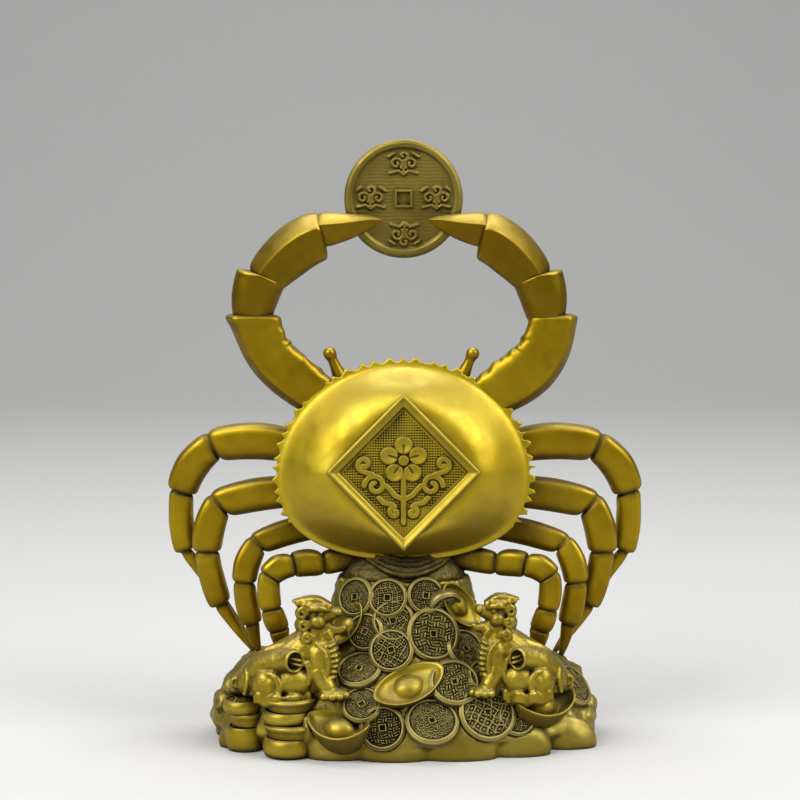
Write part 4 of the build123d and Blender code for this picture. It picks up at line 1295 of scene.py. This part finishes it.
# Section points that carry a crest, and those of the arm's ragged edge
RIDGE_POINTS = (3, 5)
ARM_RIDGE = (3,)
ARM_INNER_EDGE = (6, 7)
RIDGE_SHARPNESS = 0.85
ARM_SHARPNESS = 0.6


def claw_places(row, side):
    """Points and half widths of one claw piece."""
    share = RIGHT_CLAW_SHARE if side > 0 else 1.0
    points = []
    for out, behind, up, _ in row:
        points.append(COIN_CENTRE + Vector((side * (GRIP_REACH + share * out), behind, up)))
    return points, [place[3] for place in row]


def claw_ring(centre, along, half_width, side, section, flatness=CLAW_FLATNESS):
    """A claw section; its outer side looks away from the ring that the claws make."""
    across = Vector((along.z, 0.0, -along.x)).normalized() * side
    behind = Vector((0.0, 1.0, 0.0)) - along * along.y
    behind.normalize()
    return [
        centre + across * (outer * half_width) + behind * (depth * half_width * flatness)
        for outer, depth in section
    ]


def claw_rings(points, widths, side, section, flatness=CLAW_FLATNESS):
    """Sections at every place along a claw piece."""
    rings = []
    for index, centre in enumerate(points):
        along = (points[min(index + 1, len(points) - 1)] - points[max(index - 1, 0)]).normalized()
        rings.append(claw_ring(centre, along, widths[index], side, section, flatness))
    return rings


def creased(shape, rings, columns, sharpness, levels):
    """A subdivided mesh that keeps a crest along some columns of its rings."""
    mesh = shape.mesh("creased")
    work = bmesh.new()
    work.from_mesh(mesh)
    layer = work.edges.layers.float.new("crease_edge")
    work.verts.ensure_lookup_table()
    count = len(rings[0])
    for row in range(len(rings) - 1):
        for column in columns:
            pair = (work.verts[row * count + column], work.verts[(row + 1) * count + column])
            work.edges.get(pair)[layer] = sharpness
    work.to_mesh(mesh)
    work.free()
    return evaluated(mesh, [("SUBSURF", {"levels": levels, "render_levels": levels})])


def arm_place(side, share):
    """A point of the upper arm's middle line, from the body (0) to the wrist (1), bowed outwards."""
    out, behind, up = ARM_ROOT
    start = SHELL_CENTRE + Vector((side * (SHELL_HALF_WIDTH + out), behind, up))
    end = Vector((side * ARM_END[side], COIN_CENTRE.y + ARM_BEHIND, ARM_TOP))
    bow = Vector((side, 0, -1)) * (ARM_BOW[side] * sin(pi * share ** 1.3))
    return start.lerp(end, share) + bow


def arm_mesh(side):
    """The upper arm: a flat-faced piece with an outer bevel, a lipped end and a ragged inner edge."""
    rings = []
    for station in range(ARM_STATIONS + 1):
        share = station / ARM_STATIONS
        ahead, back = arm_place(side, min(share + 0.02, 1.0)), arm_place(side, max(share - 0.02, 0.0))
        along = (ahead - back).normalized()
        along = along.lerp(Vector((0, 0, 1)), float(smooth_step(0.6, 0.92, share))).normalized()
        width = float(np.interp(share, ARM_SHARES, ARM_WIDTHS[side]))
        ring = claw_ring(arm_place(side, share), along, width, side, ARM_SECTION)
        across = Vector((along.z, 0.0, -along.x)).normalized() * side
        ragged = smooth_step(0.05, 0.15, share) * (1.0 - smooth_step(0.86, 0.95, share))
        for column in ARM_INNER_EDGE:
            spot = Vector((share * 17.0, column * 0.9, 4.0 * side))
            bite = 1.5 * noise.noise(spot) + 0.9 * noise.noise(spot * 2.7)
            dent = 0.8 * noise.noise(spot * 1.9)
            ring[column] += across * float(ragged * bite) + Vector((0, float(ragged * dent), 0))
        rings.append(ring)
    return creased(Shape(skin(rings)), rings, ARM_RIDGE, ARM_SHARPNESS, 2)


for side, side_name in SIDES:
    claw = f"{side_name}_claw"
    piece(f"{claw}_arm", arm_mesh(side), ARM)
    rings = claw_rings(*claw_places(WRIST_ROW, side), side, ROUND_SECTION, WRIST_FLATNESS)
    piece(f"{claw}_wrist", rounded(Shape(skin(rings)), 2), CLAW)
    for part, row in (("palm", PALM_ROW), ("finger", FINGER_ROW)):
        rings = claw_rings(*claw_places(row, side), side, RIDGED_SECTION)
        mesh = creased(Shape(skin(rings)), rings, RIDGE_POINTS, RIDGE_SHARPNESS, 3)
        piece(f"{claw}_{part}", mesh, CLAW)


# Eye stalks


# Height along the stalk and radius
EYE_PROFILE = [
    (-4.0, 2.9), (0.0, 3.0), (2.0, 2.7), (4.0, 2.25), (6.0, 1.9), (7.8, 1.7), (8.8, 1.7), (9.4, 1.95),
    (10.2, 2.2), (11.0, 2.3), (11.9, 2.1), (12.6, 1.55), (13.0, 0.7),
]
EYE_SPREAD = {-1: 20.4, 1: 18.9}
EYE_RISE = 31.4
EYE_LEAN = radians(24.0)


def eye_mesh(side):
    """A stalk that widens at its root, with a ball on top."""
    root = shell_point(side * EYE_SPREAD[side], EYE_RISE, -UNDER_DEPTH / 3)
    along = Vector((side * sin(EYE_LEAN), 0, cos(EYE_LEAN)))
    span = (along, Vector((along.z, 0, -along.x)), Vector((0, 1, 0)))
    stations = [(root + along * height, radius, span) for height, radius in EYE_PROFILE]
    return rounded(Shape(skin(round_rings(stations, 20))), 1)


for side, side_name in SIDES:
    piece(f"{side_name}_eye", eye_mesh(side), SATIN)


# Tail collar


# Outline of the collar: height, half width, front half depth and back half depth
COLLAR_PROFILE = [
    (53.0, 20.6, 13.2, 13.6), (54.4, 20.8, 13.4, 14.2), (55.8, 20.4, 12.8, 14.2), (57.4, 19.6, 11.2, 13.8),
    (59.2, 18.6, 9.2, 13.2), (61.0, 17.8, 7.4, 12.6), (65.0, 17.4, 6.0, 11.8), (73.5, 17.4, 5.0, 10.9),
]
# Folds of the tail across the front: height in the middle, half width, rise of the ends and thickness
COLLAR_FOLDS = [
    (56.4, 14.0, 4.6, 0.95), (57.9, 13.4, 4.4, 0.9), (59.3, 12.6, 4.0, 0.85), (60.6, 8.0, 2.0, 0.8),
]
FOLD_MIDDLE_X = 1.6
COLLAR_VOXEL = 0.4


def collar_mesh():
    """The tail's root: a smooth waist with sagging folds across its front."""
    rings = []
    for height, width, front, back in COLLAR_PROFILE:
        ring = []
        for angle in turns(96):
            depth = back if sin(angle) > 0 else front
            ring.append(Vector((width * cos(angle), MOUND_CENTRE_Y + depth * sin(angle), height)))
        rings.append(ring)
    shape = Shape(skin(rings))
    for height, half, rise, thickness in COLLAR_FOLDS:
        rows = []
        for step in range(25):
            share = 2 * step / 24 - 1
            x = FOLD_MIDDLE_X + half * share
            lift = height + rise * share * share
            depth = lerp(13.2, 7.6, smooth_step(55.6, 61.5, lift))
            depth = depth * sqrt(max(0.0, 1 - (x / 20.4) ** 2))
            rows.append((x, MOUND_CENTRE_Y - depth - 0.2, lift, thickness * (1.0 - 0.55 * share * share)))
        shape.add(tube(rows, 12))
    mesh = fused(shape, COLLAR_VOXEL, 3)
    return displaced(mesh, lambda spot: 0.25 * noise.noise(spot * 0.4) + 0.16 * noise.noise(spot * 1.2))


piece("tail_collar", collar_mesh(), PAINTED_SHADOW_COLLAR)


# Beasts


BEAST_SNOUT_X = -19.3
BEAST_SHIFT = {-1: Vector(), 1: Vector((3.5, 0.4, 0.8))}
BEAST_SHARE_ACROSS = {-1: 1.0, 1: 0.88}
BEAST_VOXEL = 0.32


def beast_shapes(side):
    """A seated beast facing the middle, drawn on the left and mirrored for the right."""
    shape = Shape()

    def put(part):
        vertices, faces = part
        spots = []
        for spot in vertices:
            across = lerp(BEAST_SNOUT_X, spot.x, BEAST_SHARE_ACROSS[side])
            spots.append(Vector((-side * across, spot.y, spot.z)) + BEAST_SHIFT[side])
        shape.add((spots, faces))

    def roll(*rows):
        put(tube(softened(rows), 18))

    def ball(*settings):
        put(blob(*settings, rows=16, columns=28))

    # Torso, back, chest and neck
    roll((-26.8, -26.6, 22, 4.6), (-26.8, -26.0, 28, 5.2), (-27.6, -25.0, 34, 5.0), (-28.4, -24.2, 39, 4.5),
         (-28.6, -23.8, 44, 4.0))
    roll((-54, -16.4, 20, 4), (-49, -18.8, 24, 5.6), (-45, -20.5, 26.5, 6.8), (-40, -21.8, 29, 7.2),
         (-34.6, -22.8, 32.4, 7.0), (-30.6, -23.4, 36, 6.2))
    ball((-25.2, -26.6, 31.6), (3.4, 4.0, 6.6), (0, -4, 0))
    # Head: skull, open jaws, nose and beard
    ball((-28.6, -23.8, 46.0), (4.6, 4.0, 3.7), (0, -8, 0))
    roll((-28.5, -24.2, 45.8, 3.3), (-25.4, -24.7, 46.0, 2.9), (-22.6, -25.2, 46.4, 2.1))
    ball((-21.5, -25.5, 47.1), (1.8, 2.2, 1.7))
    roll((-28, -24.2, 42.2, 3.0), (-24.6, -24.8, 41.2, 2.3), (-21.4, -25.3, 40.9, 1.6),
         (-19.4, -25.4, 41.8, 1.0))
    roll((-25.4, -26.0, 40.2, 2.2), (-23.8, -26.6, 37.8, 1.6), (-23.6, -27.0, 35.8, 0.8))
    middle = -24.4
    for reach in (-1, 1):
        roll((-31.2, middle + reach * 3.2, 47.8, 0.7), (-28.8, middle + reach * 4.1, 48.7, 1.0),
             (-26.0, middle + reach * 3.8, 48.5, 1.0), (-24.0, middle + reach * 2.6, 47.8, 0.6))
        ball((-26.8, middle + reach * 3.5, 47.0), (1.1, 1.0, 1.0))
        ball((-28.0, middle + reach * 3.3, 44.0), (2.7, 2.0, 2.2), (0, 14, 0))
        for across, apart, up, wide, high, thick in (
            (-33.0, 3.0, 46.8, 1.9, 1.9, 0.85),
            (-32.4, 3.3, 42.6, 1.8, 1.8, 0.85),
            (-31.4, 4.0, 38.8, 1.8, 1.7, 0.9),
        ):
            put(curl((across, middle + reach * apart, up), wide, high, thick, 1.2, 0.4, -0.6 * reach))
    for spot, size in (((-33.0, -23.6, 46.2), 2.6), ((-32.8, -23.5, 42.4), 3.0), ((-32.2, -23.6, 38.4), 3.5)):
        ball(spot, (size, size * 1.05, size))
    # Crest: a flat cap with a scalloped brim and combed tufts
    ball((-29.4, middle, 49.8), (5.6, 3.5, 1.5), (0, 5, 0))
    for index in range(6):
        share = index / 5
        for reach in (-1, 1):
            brim = 3.2 * sqrt(max(0.05, 1 - (2 * share - 1) ** 2 * 0.8))
            ball((lerp(-34.2, -24.4, share), middle + reach * brim, lerp(49.8, 49.0, share)), (1.3, 1.0, 1.0))
    for reach in (-1, 0, 1):
        roll((-24.6, middle + reach * 1.4, 49.6, 0.7), (-28.0, middle + reach * 2.0, 50.9, 1.1),
             (-32.0, middle + reach * 1.8, 50.9, 1.0), (-36.2, middle + reach * 1.0, 50.4, 0.4))
    # Breast plates, lapping down the front
    for index in range(7):
        share = index / 6
        lean = sin(pi * share)
        spot = (-23.6 + 1.0 * lean, -27.0 - 0.8 * share, lerp(36.6, 26.4, share))
        ball(spot, (2.2, 3.4, 1.05), (0, lerp(-26, 12, share), 0))
    # Shoulder with a ridge, foreleg and paw
    ball((-27.6, -27.4, 30.6), (4.4, 4.0, 7.0), (0, -6, 0))
    roll((-28.0, -29.2, 37.0, 0.7), (-25.6, -30.3, 34.4, 0.9), (-24.6, -30.8, 30.8, 1.0),
         (-25.0, -30.8, 27.0, 0.9), (-26.8, -30.4, 24.2, 0.6))
    roll((-27.6, -28.0, 28, 3.8), (-26.2, -29.2, 24.8, 3.4), (-24.4, -30.4, 22.2, 3.0))
    ball((-22.8, -31.2, 21.0), (4.8, 3.2, 2.0))
    for across, behind in ((-25.8, -33.4), (-23.2, -33.8), (-20.6, -33.2), (-18.8, -31.6)):
        ball((across, behind, 20.7), (1.5, 1.6, 1.4))
    # Rolled wing: a tapering roll whose open, ribbed end faces the viewer, with two folds above it
    wing = softened([
        (-53, -19.4, 22.6, 2.8), (-49, -22.0, 26.0, 4.2), (-45, -24.0, 28.6, 4.8), (-41, -26.2, 30.4, 4.7),
        (-38, -28.6, 31.4, 4.2), (-36.2, -30.6, 31.8, 3.8), (-35.4, -31.6, 31.9, 3.8),
    ])
    put(horn(wing, 2.2, 28))
    for rise in (-0.9, 0.7):
        roll((-37.4, -30.6, 32.2 + rise, 0.5), (-35.6, -31.0, 31.9 + rise, 0.5),
             (-33.6, -31.2, 31.4 + rise, 0.5))
    roll((-50, -22.0, 30.8, 0.7), (-45.4, -23.8, 33.8, 1.0), (-40, -25.0, 35.8, 1.1), (-35, -25.8, 37.0, 0.8))
    roll((-52, -20.2, 27.4, 0.7), (-48, -22.8, 30.8, 1.0), (-43, -25.0, 33.4, 1.0), (-38.6, -27.0, 35.0, 0.7))
    # Belly under the wing, and the fold between it and the shoulder
    ball((-36.0, -28.0, 24.0), (6.2, 4.8, 5.8))
    roll((-31.6, -29.6, 31.0, 0.9), (-30.6, -30.2, 27.6, 1.0), (-31.0, -30.4, 24.0, 0.8))
    # Haunch: a full thigh with a leaf on it, folds beside it, and the tail's scroll
    ball((-44.0, -26.8, 23.2), (5.8, 5.2, 6.2), (0, 8, 0))
    ball((-43.4, -30.4, 22.6), (2.6, 2.0, 4.4), (0, 10, 0))
    roll((-45.6, -29.6, 27.4, 0.7), (-42.2, -31.0, 27.0, 1.2), (-40.4, -31.6, 24.2, 1.4),
         (-41.2, -32.0, 20.8, 1.2), (-44.2, -31.4, 18.8, 0.7))
    ball((-50.2, -22.4, 23.0), (4.6, 4.2, 5.0))
    for across in (-51.6, -49.2, -46.9):
        roll((across, -24.2, 27.6, 0.7), (across + 0.6, -26.2, 24.2, 1.1), (across - 0.4, -26.8, 20.0, 0.8))
    ball((-54.0, -20.6, 22.6), (3.2, 2.4, 2.2), (0, -22, 0))
    put(curl((-54.0, -22.4, 22.8), 2.6, 1.6, 0.75, 1.0, 1.0))
    # Wavy cloth under the belly
    for level, thick in ((1.4, 1.1), (0.4, 1.2), (-0.6, 1.2)):
        rows = []
        for step in range(33):
            share = step / 32
            wave = sin(tau * 3.1 * share + 0.6) + 0.35 * sin(tau * 5.3 * share)
            behind = -29.2 - 3.8 * sin(pi * share) - 0.5 * wave
            rows.append((lerp(-48.0, -30.8, share), behind, 18.6 + level + 0.55 * wave, thick))
        put(tube(rows, 16))
    # Spine knobs
    for index in range(11):
        share = index / 10
        spot = (lerp(-33.8, -53, share), lerp(-22.0, -15.8, share), 40.2 - 15.6 * share ** 0.8)
        ball(spot, (1.4, 1.2, 1.6), (0, -30, 0))
    return shape


for side, side_name in SIDES:
    mesh = fused(beast_shapes(side), BEAST_VOXEL, 4)
    displaced(mesh, lambda spot: 0.1 * noise.noise(spot * 0.5) + 0.07 * noise.noise(spot * 1.6))
    piece(f"{side_name}_beast", mesh, BEAST)


# Mound: the hollow base with lobes along its foot and a rough cast surface


# Rocks at the ends: place, radii and tilt
ROCKS = [
    ((-60.0, -9, 13), (3.6, 5, 4.4), (0, 24, 0)), ((-57.0, -11, 19), (3.4, 4.4, 3.2), (0, -30, 0)),
    ((-61.0, -3, 7), (3.6, 6, 4), (0, -10, 0)), ((60.5, -9, 8), (3.4, 5, 4), (0, 10, 0)),
    ((57.5, 4, 20), (4, 6, 3), (0, 30, 0)), ((-31, -31, 9), (3.2, 4, 6), (0, 10, 0)),
    ((-58.5, -4, 11), (6, 6, 6), (0, 0, 0)), ((-55, -6, 17), (5, 5, 5), (0, 0, 0)),
    ((60, -2, 10), (5.5, 5.5, 5.5), (0, 0, 0)), ((55, 7, 17), (6, 6, 6), (0, 0, 0)),
    ((-58.6, 1, 2.5), (5.2, 8, 8.5), (0, 0, 0)), ((-57.4, 13, 2.5), (5, 7, 9), (0, 0, 0)),
    ((60.2, 5, 2.5), (5.2, 8.5, 9), (0, 0, 0)), ((58.6, -10, 2.5), (5, 6.5, 8), (0, 0, 0)),
    ((-56, 9, 16), (6, 7, 4), (0, -28, 0)), ((-50, 14, 22), (6, 5, 4), (0, -34, 0)),
]
# Lobes along the foot, by the face they stand on: place across and radius
LOBES = {
    -1: [(-54, 6), (-21, 9), (-3, 10), (17, 11), (36, 10), (53, 9)],
    1: [(-52, 10), (-31, 11), (-9, 11.5), (13, 11), (35, 11), (54, 9)],
}
LOBE_PROUD = 0.55
LOBE_DEPTH = 5.5
LOBE_STRETCH = 1.25
# Heights of the rings of the skirt and of the neck above it
SKIRT_HEIGHTS = (0, 2, 4, 6, 8, 11, 14, 17, 20, 23, 26, 27.5, 29, 30)
NECK_HEIGHTS = (30.2, 33, 36, 39, 42, 45, 48, 51, MOUND_HEIGHT)
# How far below its seat the mound is dented under each kind of piece
COIN_DENT = 0.9
INGOT_DENT = 0.0
STACK_DENT = 2.0
DENT_REACH = 8.0
# Hollow below: height, half width and half depth
HOLLOW_LEVELS = [(16, 2, 1), (16, 47, 20), (14.5, 48.4, 21.4), (0, 55.5, 28.5)]
# Coins cast in one with the mound: place and radius
BURIED_ROWS = [
    ((-3.4, 42.4, 14.0), 7.0),
    ((-12.6, 38.6, -20.0), 6.4),
    ((20.5, 32.4, 25.0), 7.2),
    ((13.6, 46.4, 8.0, -0.9), 5.8),
    ((27.5, 25.0, -18.0, 0.2), 6.6),
    ((-13.6, 17.6, 30.0, 0.2), 6.6),
    ((36.8, 12.8, 12.0, 0.1), 6.6),
    ((8.0, 12.6, 20.0, 0.1, 1), 8.2),
    ((-38.0, 12.8, -15.0, 0.1, 1), 8.4),
    ((44.5, 12.4, 10.0, 0.1, 1), 7.8),
    ((-22.5, 24.6, 28.0, 0.2, 1), 7.2),
    ((21.5, 27.4, -25.0, 0.0, 1), 7.8),
    ((9.6, 33.8, 15.0, 0.0, 1), 6.6),
    ((-14.5, 40.6, -8.0, 0.0, 1), 6.4),
    ((-6.4, 49.8, 22.0, 0.0, 1), 6.0),
    ((16.4, 49.0, -30.0, 0.0, 1), 5.6),
]
BURIED_SINK = 0.5
MOUND_VOXEL = 0.68


def oval_ring(stacks, height):
    """Points round the widest of several stacks of ovals at a height."""
    sizes = [size for size in (level_sizes(levels, height) for levels in stacks) if size]
    ring = []
    for angle in turns(240):
        cosine, sine = cos(angle), sin(angle)
        reach = max(1.0 / hypot(cosine / wide, sine / deep) for wide, deep in sizes)
        ring.append(Vector((reach * cosine, MOUND_CENTRE_Y + reach * sine, height)))
    return ring


def dented(spots, place, half_length, half_width, level):
    """Pushes the points that lie within an oval seat below a level of its frame."""
    turn = np.array(place.to_3x3())
    local = (spots - np.array(place.translation)) @ turn
    within = np.hypot(local[:, 0] / half_length, local[:, 1] / half_width) < 1.0
    within &= (local[:, 2] > level) & (local[:, 2] < DENT_REACH)
    local[within, 2] = level
    spots[within] = (local @ turn.T + np.array(place.translation))[within]


def mound_mesh():
    """The hollow base: lobes along the foot, rocks, a rough skin, and dents under what sits on it."""
    rings = []
    for height, wide, deep in HOLLOW_LEVELS:
        rings.append(oval_ring([[(height, wide, deep), (height + 1, wide, deep)]], height))
    for height in SKIRT_HEIGHTS:
        rings.append(oval_ring((SKIRT_LEVELS, NECK_LEVELS), height))
    for height in NECK_HEIGHTS:
        rings.append(oval_ring((NECK_LEVELS,), height))
    shape = Shape(skin(rings))
    for face, lobes in LOBES.items():
        for x, radius in lobes:
            y = MOUND_CENTRE_Y + face * (mound_reach(x, FOOT_HEIGHT) + LOBE_PROUD - LOBE_DEPTH)
            shape.add(blob((x, y, 2.0), (LOBE_STRETCH * radius, LOBE_DEPTH, radius), rows=20, columns=40))
    for centre, radii, tilt in ROCKS:
        shape.add(blob(centre, radii, tilt))
    mesh = fused(shape, MOUND_VOXEL, 5)

    def rough(spot):
        if spot.z < 1.0:
            return 0.0
        lumps = noise.noise(spot * 0.12) * 0.6
        fine = noise.noise(spot * 0.45) * 0.5 + noise.noise(spot * 1.1) * 0.25
        hold = smooth_step(1.0, 4.0, spot.z)
        clear = smooth_step(6.0, 11.0, spot.z)
        return float(hold * (lumps + clear * fine))

    displaced(mesh, rough)
    spots = np.empty(3 * len(mesh.vertices))
    mesh.vertices.foreach_get("co", spots)
    spots = spots.reshape(-1, 3) / MM
    for place, radius in [row[1:] for row in COIN_ROWS] + BURIED_ROWS:
        dented(spots, seat(*place), radius, radius, -COIN_DENT)
    for _, place, (length, width, _) in INGOT_ROWS:
        dented(spots, seat(*place), 0.46 * length, 0.44 * width, -INGOT_DENT)
    for _, x, inset, radius, thicknesses, *_ in STACK_ROWS:
        centre = Vector((x, MOUND_CENTRE_Y - mound_reach(x, FOOT_HEIGHT) + inset, sum(thicknesses)))
        dented(spots, Matrix.Translation(centre), 0.95 * radius, 0.95 * radius, -STACK_DENT)
    spots[:, 2] = np.maximum(spots[:, 2], 0.0)
    mesh.vertices.foreach_set("co", (spots * MM).ravel())
    mesh.update()
    return mesh


piece("base_mound", mound_mesh(), AGED)
for number, (place, radius) in enumerate(BURIED_ROWS):
    proud = COIN_PROUD - BURIED_SINK
    coin = small_coin_mesh(seat(*place), radius, BURIED_SEED + number, proud, 0.95, 130, 30)
    piece("base_mound", coin, COIN, f"base_mound_coin_{number + 1}_cast")

for solid in ("neck_screw", "neck_washer"):
    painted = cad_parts[solid].data.materials
    painted.clear()
    painted.append(STEEL)


# Floor, backdrop, light and camera


def stage_mesh():
    """A floor that curves up into a backdrop."""
    half, front, turn, top = 3000.0, -3000.0, 1500.0, 2800.0
    bend = 600.0
    profile = [(front, 0.0), (turn - bend, 0.0)]
    for step in range(1, 13):
        angle = radians(90 * step / 12)
        profile.append((turn - bend + bend * sin(angle), bend - bend * cos(angle)))
    profile.append((turn, top))
    vertices = []
    for y, z in profile:
        vertices += [Vector((-half, y, z)), Vector((half, y, z))]
    faces = []
    for row in range(len(profile) - 1):
        faces.append((2 * row, 2 * row + 1, 2 * row + 3, 2 * row + 2))
    return Shape((vertices, faces)).mesh("studio")


def stage_material():
    """Plain pale matt paper."""
    made, tree, shader = material("pale_paper")
    shader.inputs["Roughness"].default_value = 0.85
    paper = blend(tree, grain(tree, 320.0, 4.0), (0.77, 0.765, 0.75), (0.80, 0.795, 0.785))
    tree.links.new(paper, shader.inputs["Base Color"])
    return made


studio_mesh = stage_mesh()
studio_mesh.materials.append(stage_material())
for face in studio_mesh.polygons:
    face.use_smooth = True
placed("studio", studio_mesh)


def lamp(name, place, aim, size, power):
    """A soft square lamp that looks at a point."""
    data = bpy.data.lights.new(name, "AREA")
    data.shape = "RECTANGLE"
    data.size, data.size_y = size
    data.energy = power
    made = placed(name, data)
    made.location = Vector(place)
    made.rotation_euler = (Vector(aim) - Vector(place)).to_track_quat("-Z", "Y").to_euler()


MIDDLE = (0.0, 0.0, 0.1)
lamp("key_left", (-0.6, -0.55, 0.8), MIDDLE, (0.8, 0.8), 7.9)
lamp("key_right", (0.7, -0.35, 0.75), MIDDLE, (0.6, 0.8), 5.7)
lamp("top", (0.0, 0.25, 1.0), MIDDLE, (0.9, 0.4), 4.4)

world = bpy.data.worlds.new("studio_air")
bpy.context.scene.world = world
world.use_nodes = True
world.node_tree.nodes["Background"].inputs["Color"].default_value = (0.86, 0.87, 0.9, 1.0)
world.node_tree.nodes["Background"].inputs["Strength"].default_value = 0.17

camera_data = bpy.data.cameras.new("camera")
camera_data.lens = CAMERA_LENS
camera_data.sensor_width = SENSOR
camera_data.clip_start = 0.01
camera = placed("camera", camera_data)
away = Vector((0.0, -cos(CAMERA_ELEVATION), sin(CAMERA_ELEVATION)))
camera.location = (CAMERA_AIM + away * CAMERA_DISTANCE) * MM
camera.rotation_euler = (-away).to_track_quat("-Z", "Y").to_euler()
bpy.context.scene.camera = camera
bpy.context.scene.view_settings.view_transform = "Standard"
